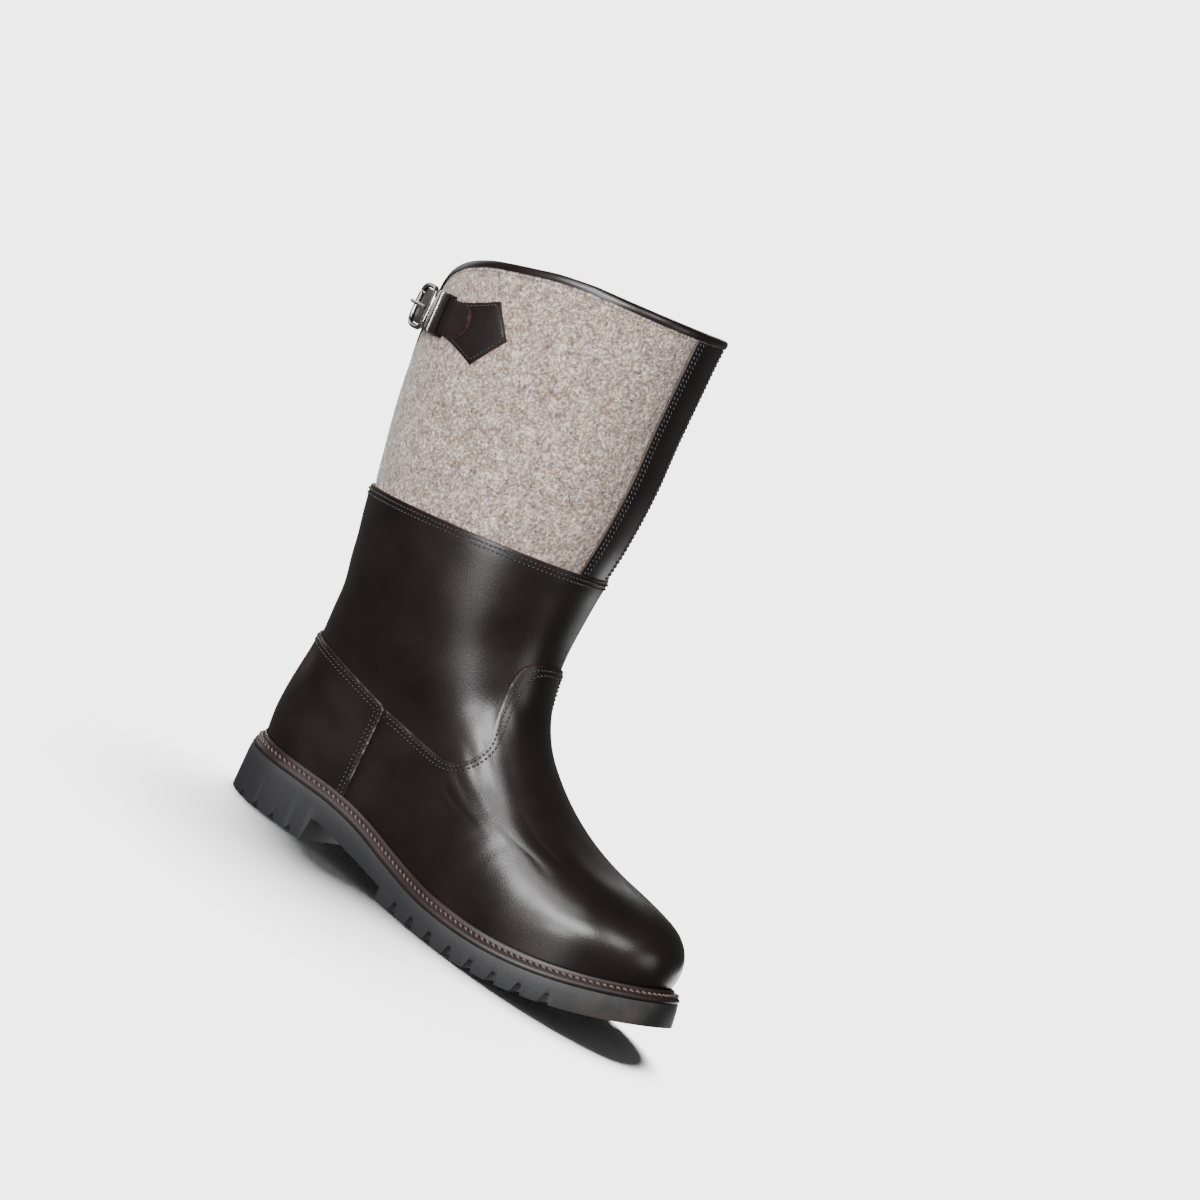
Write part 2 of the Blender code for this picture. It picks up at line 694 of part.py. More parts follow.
def build_overlays(materials, parts, cutters):
    """Vamp and counter, cut from one shell over the upper by their side outlines."""
    levels = list(range(14))
    pieces = []
    outlines = {
        "vamp": side_outline(VAMP_EDGE) + [(1.1 * OUTSOLE_LENGTH, -0.05)],
        "counter": side_outline(COUNTER_EDGE) + [(-0.1 * OUTSOLE_LENGTH, -0.05)],
    }
    for name, outline in outlines.items():
        shell = wall(name, list(range(COLUMNS)), lambda column: levels,
                     steady(leather_outside() + GAP), steady(overlay_outside()),
                     materials["boot_leather"], parts)
        cutter = prism("cut_" + name, outline, -BALL_WIDTH, BALL_WIDTH, "Y", cutters)
        pieces.append(apply_boolean(shell, cutter, "INTERSECT"))
    return pieces


def shaft_column(level, across):
    """Column on the front of the shaft at a distance across from its middle."""
    half = loop_value(level, "half_width") * SHAFT_WIDTH
    share = (1.0 - min(1.0, abs(across) / half) ** OVAL_POWER) ** (1.0 / OVAL_POWER)
    return math.copysign(column_at(math.degrees(math.acos(share))), across)


def build_front_strip(materials, parts):
    """Leather strip down the front of the felt, from the collar to the leather."""
    start = LEATHER_TOP + 0.04
    end = level_at(0, collar_height(0) - BINDING_DEPTH - 2.0 * GAP)
    levels = [start] + [v for v in range(LEATHER_TOP + 1, len(LOOPS)) if v < end - 0.1] + [end]
    half = 0.5 * STRIP_WIDTH
    narrowest = min(shaft_column(v, half) for v in levels)
    whole = list(range(1, int(math.ceil(narrowest - 0.1))))
    rings = []
    for place in [-1.0] + [-c for c in reversed(whole)] + [0] + whole + [1.0]:
        outside, inside = [], []
        for v in levels:
            column = shaft_column(v, place * half) if isinstance(place, float) else place
            outside.append(skin(column, v, GAP + OVERLAY))
            inside.append(skin(column, v, GAP))
        rings.append(outside + inside[::-1])
    count = len(rings[0])
    faces = tube_faces(len(rings), count, True, False)
    rows = count // 2
    for base in (0, (len(rings) - 1) * count):
        faces += [(base + k, base + k + 1, base + count - 2 - k, base + count - 1 - k)
                  for k in range(rows - 1)]
    points = [p for ring in rings for p in ring]
    return new_object("front_strip", points, faces, materials["boot_leather"], parts)


def build_back_bead(materials, parts):
    """Raised seam down the back of the leather, above the counter."""
    middle = COLUMNS // 2
    low = level_at(middle, rise_at(0.5, COUNTER_TOP) + OVERLAY)
    levels = [low] + [v for v in range(int(low) + 1, LEATHER_TOP + 1)]
    reach = 0.5 * BACK_BEAD_WIDTH / (SHAFT_WIDTH * 0.5) * COLUMNS / (2.0 * math.pi) / 0.75
    return wall("back_seam", [middle - reach, middle, middle + reach], lambda column: levels,
                steady(leather_outside() + GAP), steady(leather_outside() + GAP + 0.8 * OVERLAY),
                materials["boot_leather"], parts)


def build_binding(materials, parts):
    """Leather binding wrapped over the edge of the felt, all round the collar."""
    count = COLUMNS
    middle = [skin(c, level_at(c, collar_height(c)), -0.5 * FELT) for c in range(count)]
    half_in = 0.5 * FELT + 2.5 * GAP
    half_out = half_in + BINDING_WRAP
    top = -2.0 * GAP - BINDING_WRAP
    section = ((half_out, BINDING_DEPTH), (half_out, 0.5 * top), (0.55 * half_out, top),
               (-0.55 * half_out, top), (-half_out, 0.5 * top), (-half_out, BINDING_DEPTH),
               (-half_in, BINDING_DEPTH), (-half_in, -2.0 * GAP), (half_in, -2.0 * GAP),
               (half_in, BINDING_DEPTH))
    rings = []
    for c in range(count):
        level = level_at(c, collar_height(c))
        normal = blend_grid(NORMALS, c, level)
        tangent = middle[(c + 1) % count] - middle[c - 1]
        tangent /= np.linalg.norm(tangent)
        down = np.cross(tangent, normal)
        down /= np.linalg.norm(down)
        if down[2] > 0.0:
            down = -down
        rings.append([middle[c] + n * normal + d * down for n, d in section])
    faces = tube_faces(count, len(section), True, True)
    points = [p for ring in rings for p in ring]
    return new_object("collar_binding", points, faces, materials["boot_leather"], parts)


def strap_middle(degrees):
    """Height of the strap's middle line at an angle round the shaft."""
    forward = 0.5 * (1.0 + math.cos(math.radians(degrees)))
    rise = STRAP_RISE_BACK + (STRAP_RISE_FRONT - STRAP_RISE_BACK) * 2.0 * forward
    return rise_at(0.0, rise)


def tab_half(degrees):
    """Half height of the house-shaped tab at an angle from the front, on either side."""
    strap, tab = 0.5 * STRAP_WIDTH, 0.5 * TAB_WIDTH
    if degrees >= TAB_NECK:
        return strap
    if degrees >= TAB_SHOULDER:
        share = (TAB_NECK - degrees) / (TAB_NECK - TAB_SHOULDER)
        return strap + (tab - strap) * share ** 1.6
    share = (degrees - TAB_POINT) / (TAB_SHOULDER - TAB_POINT)
    return max(tab * share, 0.0004)


def ribbon(name, angles, half, inner, thickness, material, parts):
    """A strap on the shaft: its middle line, half height and offset follow the angle."""
    rings = []
    for degrees in angles:
        column = column_at(degrees)
        middle, reach, low = strap_middle(degrees), half(degrees), inner(degrees)
        outside, inside = [], []
        for share in (-1.0, 0.0, 1.0):
            level = level_at(column, middle + share * reach)
            outside.append(skin(column, level, low + thickness))
            inside.append(skin(column, level, low))
        rings.append(outside + inside[::-1])
    faces = tube_faces(len(rings), 6, True, False)
    last = 6 * (len(rings) - 1)
    for start in (0, last):
        faces += [(start, start + 1, start + 4, start + 5), (start + 1, start + 2, start + 3, start + 4)]
    return new_object(name, [p for ring in rings for p in ring], faces, material, parts)


def whole_angles(start, end):
    """Angles of the whole columns between two angles."""
    angles = [math.degrees(column_angle(c)) for c in range(COLUMNS)]
    return [a for a in angles if start + 0.8 < a < end - 0.8]


def mirrored(degrees):
    """The angle measured from the front on whichever side it is."""
    return 360.0 - degrees if degrees > 180.0 else degrees


def tab_inner(degrees):
    """Offset of the tab's inner face."""
    return GAP


def strap_inner(degrees):
    """Offset of the strap's inner face, lifted over the collar binding and the outer tab."""
    binding = BINDING_WRAP + 3.0 * GAP
    over_tab = 2.0 * GAP + STRAP_THICKNESS
    stations = np.array([94.0, 146.0, 157.0, 180.0, 205.0, 222.0, 266.0])
    offsets = np.array([over_tab, over_tab, over_tab - GAP, binding + GAP, binding + GAP, GAP, GAP])
    return float(np.interp(degrees, stations, offsets))


def buckle_side(degrees):
    """The same angle on the outer side of the boot, where the buckle is."""
    return 360.0 - degrees


def build_strap(materials, parts):
    """Strap in one piece with the inner tab, round the back and through the buckle."""
    inner_point = TAB_POINT
    tip = buckle_side(STRAP_TIP)
    ends = [TAB_SHOULDER, 0.5 * (TAB_SHOULDER + TAB_POINT), 0.5 * (TAB_SHOULDER + TAB_NECK), TAB_NECK]
    tips = [tip - d for d in (0.0, 0.8, 2.2, 4.4, 7.5)]
    angles = sorted([inner_point] + ends + whole_angles(inner_point, tip - 7.5) + tips)

    def half(degrees):
        if degrees <= 180.0:
            return tab_half(degrees)
        left = (tip - degrees) / 7.5
        if left >= 1.0:
            return 0.5 * STRAP_WIDTH
        return 0.5 * STRAP_WIDTH * max(0.16, math.sqrt(max(0.0, 1.0 - (1.0 - left) ** 2.0)))

    def inner(degrees):
        return strap_inner(buckle_side(degrees))
    return ribbon("strap", angles, half, inner, STRAP_THICKNESS, materials["strap_leather"], parts)


def build_buckle_tab(materials, parts):
    """House-shaped tab on the outer side that holds the buckle."""
    start, end = buckle_side(TAB_END), buckle_side(TAB_POINT)
    ends = [buckle_side(a) for a in (TAB_SHOULDER, 0.5 * (TAB_SHOULDER + TAB_POINT),
                                     0.5 * (TAB_SHOULDER + TAB_NECK), TAB_NECK)]
    angles = sorted([start, end] + ends + whole_angles(start, end))
    return ribbon("buckle_tab", angles, lambda d: tab_half(mirrored(d)), tab_inner, STRAP_THICKNESS,
                  materials["strap_leather"], parts)


def place_on_strap(degrees, offset):
    """Centre and directions of a fitting on the outer side: along to the front, up and out."""
    angle = buckle_side(degrees)
    column = column_at(angle)
    level = level_at(column, strap_middle(angle))
    centre = skin(column, level, offset)
    ahead_column = column_at(angle + 2.0)
    ahead = skin(ahead_column, level_at(ahead_column, strap_middle(angle + 2.0)), offset)
    behind_column = column_at(angle - 2.0)
    behind = skin(behind_column, level_at(behind_column, strap_middle(angle - 2.0)), offset)
    along = Vector(ahead - behind).normalized()
    out = Vector(blend_grid(NORMALS, column, level)).normalized()
    up = out.cross(along).normalized()
    if up.z < 0.0:
        up = -up
    out = along.cross(up).normalized()
    if out.dot(Vector(blend_grid(NORMALS, column, level))) < 0.0:
        out = -out
    return Vector(centre), along, up, out


def wire(name, points, diameter, closed, material, parts):
    """A round wire through points, made a mesh from a curve."""
    curve = bpy.data.curves.new(name + "_curve", "CURVE")
    curve.dimensions = "3D"
    curve.bevel_depth = 0.5 * diameter
    curve.bevel_resolution = 2
    curve.use_fill_caps = True
    spline = curve.splines.new("POLY")
    spline.points.add(len(points) - 1)
    for spot, point in zip(spline.points, points):
        spot.co = (point[0] - HEEL_CENTRE, point[1], point[2], 1.0)
    spline.use_cyclic_u = closed
    guide = bpy.data.objects.new(name + "_guide", curve)
    parts.objects.link(guide)
    mesh = bpy.data.meshes.new_from_object(guide.evaluated_get(bpy.context.evaluated_depsgraph_get()))
    shell = bmesh.new()
    shell.from_mesh(mesh)
    bmesh.ops.remove_doubles(shell, verts=shell.verts[:], dist=1e-6)
    bmesh.ops.recalc_face_normals(shell, faces=shell.faces[:])
    shell.to_mesh(mesh)
    shell.free()
    mesh.name = name
    mesh.materials.clear()
    mesh.materials.append(material)
    mesh.shade_smooth()
    thing = bpy.data.objects.new(name, mesh)
    parts.objects.link(thing)
    bpy.data.objects.remove(guide)
    return thing


def build_buckle(materials, parts):
    """Rounded frame over the strap and the prong that lies across it."""
    lift = strap_inner(BUCKLE_PLACE) + STRAP_THICKNESS + GAP + 0.2 * BUCKLE_WIRE
    centre, along, up, out = place_on_strap(BUCKLE_PLACE, lift)
    half_l, half_h = 0.5 * (BUCKLE_LENGTH - BUCKLE_WIRE), 0.5 * (BUCKLE_HEIGHT - BUCKLE_WIRE)
    front, tilt = centre + half_l * along, math.radians(BUCKLE_TILT)
    along, out = (along * math.cos(tilt) - out * math.sin(tilt), out * math.cos(tilt) + along * math.sin(tilt))
    centre = front - half_l * along
    points = []
    for k in range(WIRE_POINTS):
        turn = 2.0 * math.pi * k / WIRE_POINTS
        c, s = math.cos(turn), math.sin(turn)
        power = 0.62 if c < 0.0 else 0.42
        u = math.copysign(abs(c) ** power, c) * half_l
        v = math.copysign(abs(s) ** 0.55, s) * half_h
        points.append(centre + along * u + up * v)
    wire("buckle_frame", points, BUCKLE_WIRE, True, materials["buckle_metal"], parts)
    reach = half_l - 0.5 * (BUCKLE_WIRE + PRONG_WIRE) - GAP
    rise = 0.5 * (BUCKLE_WIRE + PRONG_WIRE) + GAP
    prong = [centre + along * (reach - share * (reach + half_l + 0.6 * BUCKLE_WIRE))
             + out * (0.0004 + rise * min(1.0, share * 1.12)) for share in np.linspace(0.0, 1.0, 6)]
    wire("buckle_prong", prong, PRONG_WIRE, False, materials["buckle_metal"], parts)


def bracket(name, degrees, width, thickness, material, parts):
    """A loop over the strap with its legs down beside the strap's edges."""
    centre, along, up, out = place_on_strap(degrees, 0.0)
    inside = 0.5 * STRAP_WIDTH + GAP
    top = strap_inner(degrees) + STRAP_THICKNESS + 2.0 * GAP
    foot = 0.0008
    outline = ((inside, foot), (inside, top - 0.0004), (inside - 0.0006, top), (-inside + 0.0006, top),
               (-inside, top - 0.0004), (-inside, foot), (-inside - thickness, foot),
               (-inside - thickness, top + 0.2 * thickness), (-inside - 0.3 * thickness, top + thickness),
               (inside + 0.3 * thickness, top + thickness), (inside + thickness, top + 0.2 * thickness),
               (inside + thickness, foot))
    rings = []
    for reach in (-0.5 * width, 0.5 * width):
        rings.append([centre + along * reach + up * u + out * v for u, v in outline])
    count = len(outline)
    faces = tube_faces(2, count, True, False)
    for base in (0, count):
        faces += [tuple(base + k for k in quad) for quad in
                  ((0, 1, 10, 11), (1, 2, 9, 10), (2, 3, 8, 9), (3, 4, 7, 8), (4, 5, 6, 7))]
    return new_object(name, [p for ring in rings for p in ring], faces, material, parts)


def make_materials():
    """One Principled material for each finish."""
    made = {}
    for name, (colour, roughness, metallic) in MATERIALS.items():
        material = bpy.data.materials.new(name)
        material.use_nodes = True
        shader = material.node_tree.nodes["Principled BSDF"]
        shader.inputs["Base Color"].default_value = colour + (1.0,)
        shader.inputs["Roughness"].default_value = roughness
        shader.inputs["Metallic"].default_value = metallic
        material.diffuse_color = colour + (1.0,)
        made[name] = material
    return made


def make_collection(name):
    """A collection in the scene."""
    collection = bpy.data.collections.new(name)
    bpy.context.scene.collection.children.link(collection)
    return collection


def main():
    """Builds the boot."""
    for thing in list(bpy.data.objects):
        bpy.data.objects.remove(thing, do_unlink=True)
    parts = make_collection("felt_boot")
    cutters = make_collection("felt_boot_cutters")
    materials = make_materials()
    build_outsole(materials, parts, cutters)
    build_welt(materials, parts)
    build_insole(materials, parts)
    build_upper(materials, parts)
    build_felt_shaft(materials, parts)
    build_overlays(materials, parts, cutters)
    build_front_strip(materials, parts)
    build_back_bead(materials, parts)
    build_binding(materials, parts)
    build_buckle_tab(materials, parts)
    build_strap(materials, parts)
    build_buckle(materials, parts)
    bracket("buckle_keeper", KEEPER_PLACE, KEEPER_WIDTH, KEEPER_THICKNESS, materials["buckle_metal"], parts)
    bracket("strap_loop", LOOP_PLACE, LOOP_WIDTH, KEEPER_THICKNESS, materials["strap_leather"], parts)


main()
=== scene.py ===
"""Looks of the felt and leather winter boot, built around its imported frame.

The pieces follow the same last as the solids: X from heel to toe, Y towards the inner
side of the foot and Z up, in metres, with the origin under the middle of the heel.
"""
from __future__ import annotations

import json
import logging
import math
from dataclasses import dataclass
from enum import Enum
from functools import cache
from typing import Callable, Iterable, Sequence

import bmesh
import bpy
import numpy as np
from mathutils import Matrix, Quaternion, Vector

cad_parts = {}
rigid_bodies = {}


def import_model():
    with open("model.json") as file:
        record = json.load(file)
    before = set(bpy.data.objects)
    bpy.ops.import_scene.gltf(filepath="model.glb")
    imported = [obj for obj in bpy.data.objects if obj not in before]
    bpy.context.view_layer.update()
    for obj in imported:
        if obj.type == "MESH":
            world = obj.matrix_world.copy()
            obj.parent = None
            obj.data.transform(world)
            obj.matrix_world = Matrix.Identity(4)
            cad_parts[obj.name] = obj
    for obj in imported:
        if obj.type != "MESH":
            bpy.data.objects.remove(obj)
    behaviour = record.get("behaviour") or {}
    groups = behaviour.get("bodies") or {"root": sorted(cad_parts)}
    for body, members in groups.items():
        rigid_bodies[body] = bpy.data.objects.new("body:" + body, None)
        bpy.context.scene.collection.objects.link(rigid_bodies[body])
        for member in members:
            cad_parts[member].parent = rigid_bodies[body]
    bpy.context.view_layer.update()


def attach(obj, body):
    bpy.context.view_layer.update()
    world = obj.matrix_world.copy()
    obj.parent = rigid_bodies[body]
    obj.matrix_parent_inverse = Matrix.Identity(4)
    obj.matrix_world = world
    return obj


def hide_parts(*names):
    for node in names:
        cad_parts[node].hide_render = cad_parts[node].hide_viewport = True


log = logging.getLogger("boot")
Colour = tuple[float, float, float]
Faces = list[tuple[int, ...]]
Array, Thing, Material = np.ndarray, bpy.types.Object, bpy.types.Material
Node, Socket = bpy.types.Node, bpy.types.NodeSocket

# Sizes of the sole, in metres
LENGTH = 0.290
BALL_WIDTH = 0.1066
HEEL_WIDTH = 0.073
HEEL_HEIGHT = 0.026
FOREPART = 0.0137
TOE_SPRING = 0.024
HEEL_LENGTH = 0.068
HEEL_CENTRE = 0.0406
SHANK_CLEARANCE = 0.0135
TOE_BUMPER = 0.0032
LUG_DEPTH = 0.0062
LUG_PITCH = 0.0145
LUG_GAP = 0.0036
HEEL_PITCH = 0.0123
HEEL_NOTCH = (0.0008, 0.0034, 0.0042)
TREAD_START = HEEL_LENGTH + 0.21 * LENGTH
TREAD_END = 0.850
LANE_END = 0.865
LANE_INSET = 0.021
SPRING_START = 0.610

# Sizes of the welt, the upper and the shaft
WELT_WIDTH = 0.0060
HEEL_WELT_WIDTH = 0.0045
BOOT_HEIGHT = 0.343
SHAFT_WIDTH = 0.118
LEATHER = 0.0022
OVERLAY = 0.0013
ROW_INSETS = (0.0020, 0.0044)
ROW_DROPS = (0.0021, 0.0046)
STRIP_ROWS = (0.0022, 0.0047)
FELT = 0.0040
GAP = 0.0003
NOTCH_DEPTH = 0.088
STRIP_WIDTH = 0.030

# Sizes of the strap set
STRAP_WIDTH = 0.020
STRAP_THICKNESS = 0.0020
TAB_WIDTH = 0.0365
TAB_POINT = 91.5
TAB_SHOULDER = 102.5
TAB_NECK = 124.5
TAB_END = 150.0
STRAP_TIP = 110.0
TIP_ROUND = 7.5
TAB_ROW = 0.0021
RISE_HALF = 0.0097
BUCKLE_WIRE = 0.0028
PRONG_WIRE = 0.0020
BUCKLE_LENGTH = 0.0245
BUCKLE_HEIGHT = 0.0262
WIRE_SIDES = 13
BUCKLE_PLACE = 144.6
BUCKLE_TILT = 7.0
KEEPER_PLACE = 132.0
LOOP_PLACE = 127.4
STRAP_RISE = (0.790, 0.831)

# Fineness of the last's grid
COLUMNS = 288
STEPS = 6
CROWDING = 0.33
RIDGE_COLUMNS = 12.0
RIDGE_LEVEL = 3.5
RIDGE_PASSES = 24
WALL_POWER = 2.1

OUTLINE = np.array((
    # station, swing, ball_half, heel_half
    (0.00, 0.000, 0.000, 0.500), (0.14, 0.000, 0.000, 0.500), (0.25, -0.008, 0.110, 0.325),
    (0.38, -0.030, 0.283, 0.085), (0.50, -0.034, 0.408, 0.000), (0.62, -0.014, 0.482, 0.000),
    (0.70, 0.002, 0.500, 0.000), (0.80, 0.020, 0.494, 0.000), (0.90, 0.038, 0.478, 0.000),
    (1.00, 0.052, 0.450, 0.000)))
SOLE_LINE = np.array((
    # station, drop
    (0.00, 0.00), (0.22, 0.00), (0.28, 0.07), (0.34, 0.26), (0.42, 0.62), (0.50, 0.90),
    (0.57, 1.00), (1.00, 1.00)))
LOOPS = np.array((
    # front_reach, front_rise, back_reach, back_rise, half_width, tube, follow, nose
    (0.947, 0.000, 0.028, 0.000, 0.237, 0.00, 1.00, 0.241),
    (0.951, 0.031, 0.021, 0.037, 0.242, 0.00, 0.86, 0.234),
    (0.943, 0.062, 0.016, 0.065, 0.246, 0.00, 0.70, 0.186),
    (0.918, 0.087, 0.014, 0.094, 0.250, 0.00, 0.54, 0.128),
    (0.877, 0.101, 0.014, 0.117, 0.254, 0.00, 0.40, 0.072),
    (0.795, 0.109, 0.015, 0.138, 0.260, 0.00, 0.27, 0.034),
    (0.702, 0.127, 0.016, 0.160, 0.268, 0.05, 0.15, 0.021),
    (0.624, 0.159, 0.017, 0.184, 0.280, 0.20, 0.06, 0.017),
    (0.563, 0.196, 0.017, 0.211, 0.293, 0.42, 0.00, 0.017),
    (0.513, 0.235, 0.015, 0.241, 0.308, 0.65, 0.00, 0.017),
    (0.480, 0.276, 0.012, 0.274, 0.325, 0.85, 0.00, 0.017),
    (0.459, 0.323, 0.008, 0.313, 0.348, 0.96, 0.00, 0.017),
    (0.447, 0.375, -0.001, 0.356, 0.376, 1.00, 0.00, 0.017),
    (0.441, 0.430, -0.014, 0.406, 0.404, 1.00, 0.00, 0.017),
    (0.440, 0.537, -0.038, 0.485, 0.438, 1.00, 0.00, 0.017),
    (0.443, 0.585, -0.057, 0.545, 0.454, 1.00, 0.00, 0.017),
    (0.443, 0.650, -0.080, 0.618, 0.470, 1.00, 0.00, 0.017),
    (0.439, 0.721, -0.099, 0.700, 0.488, 1.00, 0.00, 0.017),
    (0.429, 0.799, -0.111, 0.785, 0.498, 1.00, 0.00, 0.017),
    (0.422, 0.874, -0.113, 0.852, 0.497, 1.00, 0.00, 0.017),
    (0.416, 0.942, -0.112, 0.905, 0.488, 1.00, 0.00, 0.017),
    (0.412, 1.000, -0.110, 0.943, 0.480, 1.00, 0.00, 0.017)))
LEATHER_TOP = 14
NOTCH = np.array((
    # across, drop
    (0.00, 1.000), (0.08, 0.990), (0.16, 0.950), (0.22, 0.880), (0.27, 0.775), (0.31, 0.650),
    (0.35, 0.520), (0.39, 0.405), (0.44, 0.342), (0.52, 0.295), (0.62, 0.245), (0.72, 0.197)))
SHOULDER = np.array((
    # share from the back to the front, drop, drop of the inner side
    (0.0976, 0.245, 0.245), (0.141, 0.197, 0.200), (0.200, 0.152, 0.160), (0.268, 0.114, 0.130),
    (0.348, 0.084, 0.105), (0.440, 0.054, 0.080), (0.550, 0.020, 0.055), (0.680, 0.000, 0.040),
    (0.800, -0.012, 0.030), (0.900, -0.022, 0.020), (0.960, -0.014, 0.006), (1.000, 0.000, 0.000)))
VAMP_EDGE = np.array((
    # reach, rise
    (0.2525, 0.213), (0.330, 0.206), (0.395, 0.202), (0.430, 0.206), (0.454, 0.221),
    (0.4695, 0.243), (0.4715, 0.262), (0.464, 0.284), (0.4535, 0.310), (0.446, 0.336),
    (0.4415, 0.358), (0.4405, 0.378), (0.444, 0.394), (0.455, 0.407), (0.480, 0.415),
    (0.600, 0.417), (1.100, 0.417)))
COUNTER_EDGE = np.array((
    # reach, rise
    (0.2505, 0.2145), (0.200, 0.2225), (0.120, 0.235), (0.020, 0.244), (-0.100, 0.247)))
SEAM_FOOT = ((0.268, 0.048), (0.268, -0.200))
COUNTER_FOOT = ((0.266, 0.048), (0.266, -0.200))


class Slot(str, Enum):
    """Material slots of the record."""

    RUBBER = "outsole_rubber"
    WELT = "welt_leather"
    INSOLE = "insole_felt"
    BOOT = "boot_leather"
    FELT = "shaft_felt"
    STRAP = "strap_leather"
    METAL = "buckle_metal"


@dataclass(frozen=True)
class LeatherFinish:
    """Finish of a leather: its colours, shine and grain."""

    name: str
    colour: Colour
    worn: Colour
    roughness: float
    shine: float
    grain: float


@dataclass(frozen=True)
class WoolFinish:
    """Finish of felt or fleece: dark, middle and light fibres."""

    name: str
    dark: Colour
    middle: Colour
    light: Colour
    scale: float
    relief: float


@dataclass(frozen=True)
class PlainFinish:
    """Finish of thread, metal and rubber."""

    name: str
    colour: Colour
    roughness: float
    metallic: float = 0.0
    relief: float = 0.0
    scale: float = 900.0


BOOT_LEATHER = LeatherFinish(
    "polished_leather", (0.0046, 0.0024, 0.0024), (0.0092, 0.0044, 0.0040), 0.30, 0.50, 0.30)
STRAP_LEATHER = LeatherFinish(
    "strap_leather", (0.0055, 0.0035, 0.0033), (0.0095, 0.0055, 0.0049), 0.42, 0.30, 0.34)
WELT_LEATHER = LeatherFinish(
    "welt_leather", (0.0100, 0.0058, 0.0056), (0.0190, 0.0105, 0.0094), 0.42, 0.40, 0.30)
RAW_EDGE = LeatherFinish(
    "raw_leather_edge", (0.038, 0.019, 0.015), (0.064, 0.031, 0.024), 0.75, 0.20, 0.40)
GREY_FELT = WoolFinish(
    "wool_felt", (0.060, 0.045, 0.037), (0.225, 0.172, 0.146), (0.710, 0.615, 0.548), 640.0, 0.60)
FLEECE = WoolFinish(
    "fleece_lining", (0.42, 0.29, 0.20), (0.66, 0.51, 0.39), (0.85, 0.73, 0.61), 300.0, 0.60)
INSOLE_WOOL = WoolFinish(
    "insole_wool", (0.26, 0.22, 0.18), (0.45, 0.40, 0.34), (0.60, 0.55, 0.48), 420.0, 0.40)
BLACK_THREAD = PlainFinish("black_thread", (0.0120, 0.0100, 0.0100), 0.30)
TAN_THREAD = PlainFinish("welt_thread", (0.090, 0.056, 0.048), 0.50)
GREY_THREAD = PlainFinish("collar_thread", (0.120, 0.100, 0.090), 0.65)
RUBBER = PlainFinish("lugged_rubber", (0.0110, 0.0110, 0.0120), 0.60, 0.0, 0.35, 700.0)
NICKEL = PlainFinish("nickel", (0.34, 0.33, 0.31), 0.18, 1.0, 0.05, 500.0)
ENGRAVED = PlainFinish("engraved_nickel", (0.36, 0.34, 0.32), 0.24, 1.0, 0.60, 1300.0)
SCUFF = (0.058, 0.042, 0.036)

# Scales of the textures, in cells to the metre
LEATHER_PORES = 1500.0
FINE_GRAIN = 2600.0
WORN_PATCHES = 38.0
WOOL_WARP = 160.0
WOOL_CLUSTERS = 190.0
WOOL_FLECKS = 430.0


@dataclass(frozen=True)
class Seam:
    """Kind of stitching: its pitch, its thread, and how far each stitch fills and crosses its pitch."""

    pitch: float
    radius: float
    fill: float
    thread: PlainFinish
    twist: float = 0.0


BOOT_SEAM = Seam(0.0026, 0.00048, 0.74, BLACK_THREAD)
TAB_SEAM = Seam(0.0024, 0.00038, 0.72, BLACK_THREAD)
COLLAR_SEAM = Seam(0.0026, 0.00030, 0.70, GREY_THREAD)
WELT_SEAM = Seam(0.0037, 0.00070, 0.78, TAN_THREAD, 0.00060)


def smooth_read(table: Array, column: int, place: Array | float) -> Array:
    """Reads a table along a smooth curve that adds no new bulges.

    Args:
        table: rows with the station first.
        column: which value of a row is read.
        place: stations to read at.

    Returns:
        The values at those stations.
    """
    stations, values = table[:, 0], table[:, column]
    steps = np.diff(stations)
    slopes = np.diff(values) / steps
    tangents = np.zeros(len(values))
    for k in range(1, len(values) - 1):
        if slopes[k - 1] * slopes[k] > 0.0:
            tangents[k] = 2.0 * slopes[k - 1] * slopes[k] / (slopes[k - 1] + slopes[k])
    tangents[0], tangents[-1] = slopes[0], slopes[-1]
    place = np.clip(place, stations[0], stations[-1])
    k = np.clip(np.searchsorted(stations, place, side="right") - 1, 0, len(steps) - 1)
    u = (place - stations[k]) / steps[k]
    return (values[k] * (1 + 2 * u) * (1 - u) ** 2 + values[k + 1] * u ** 2 * (3 - 2 * u)
            + tangents[k] * steps[k] * u * (1 - u) ** 2 - tangents[k + 1] * steps[k] * u ** 2 * (1 - u))


def spline(knots: Array, values: Array, places: Array) -> Array:
    """Natural cubic curve through points.

    Args:
        knots: rising parameters of the points.
        values: the points, one row each.
        places: parameters to read at.

    Returns:
        One row for each place.
    """
    gaps, count = np.diff(knots), len(knots)
    system, right = np.eye(count), np.zeros_like(values)
    for k in range(1, count - 1):
        system[k, k - 1:k + 2] = gaps[k - 1], 2.0 * (gaps[k - 1] + gaps[k]), gaps[k]
        right[k] = 6.0 * ((values[k + 1] - values[k]) / gaps[k] - (values[k] - values[k - 1]) / gaps[k - 1])
    bend = np.linalg.solve(system, right)
    k = np.clip(np.searchsorted(knots, places, side="right") - 1, 0, count - 2)
    after, before, gap = (places - knots[k])[:, None], (knots[k + 1] - places)[:, None], gaps[k][:, None]
    return ((bend[k] * before ** 3 + bend[k + 1] * after ** 3) / (6.0 * gap)
            + (values[k] / gap - bend[k] * gap / 6.0) * before
            + (values[k + 1] / gap - bend[k + 1] * gap / 6.0) * after)


def unit(vectors: Array) -> Array:
    """Directions of vectors in rows."""
    return vectors / np.linalg.norm(vectors, axis=-1, keepdims=True)


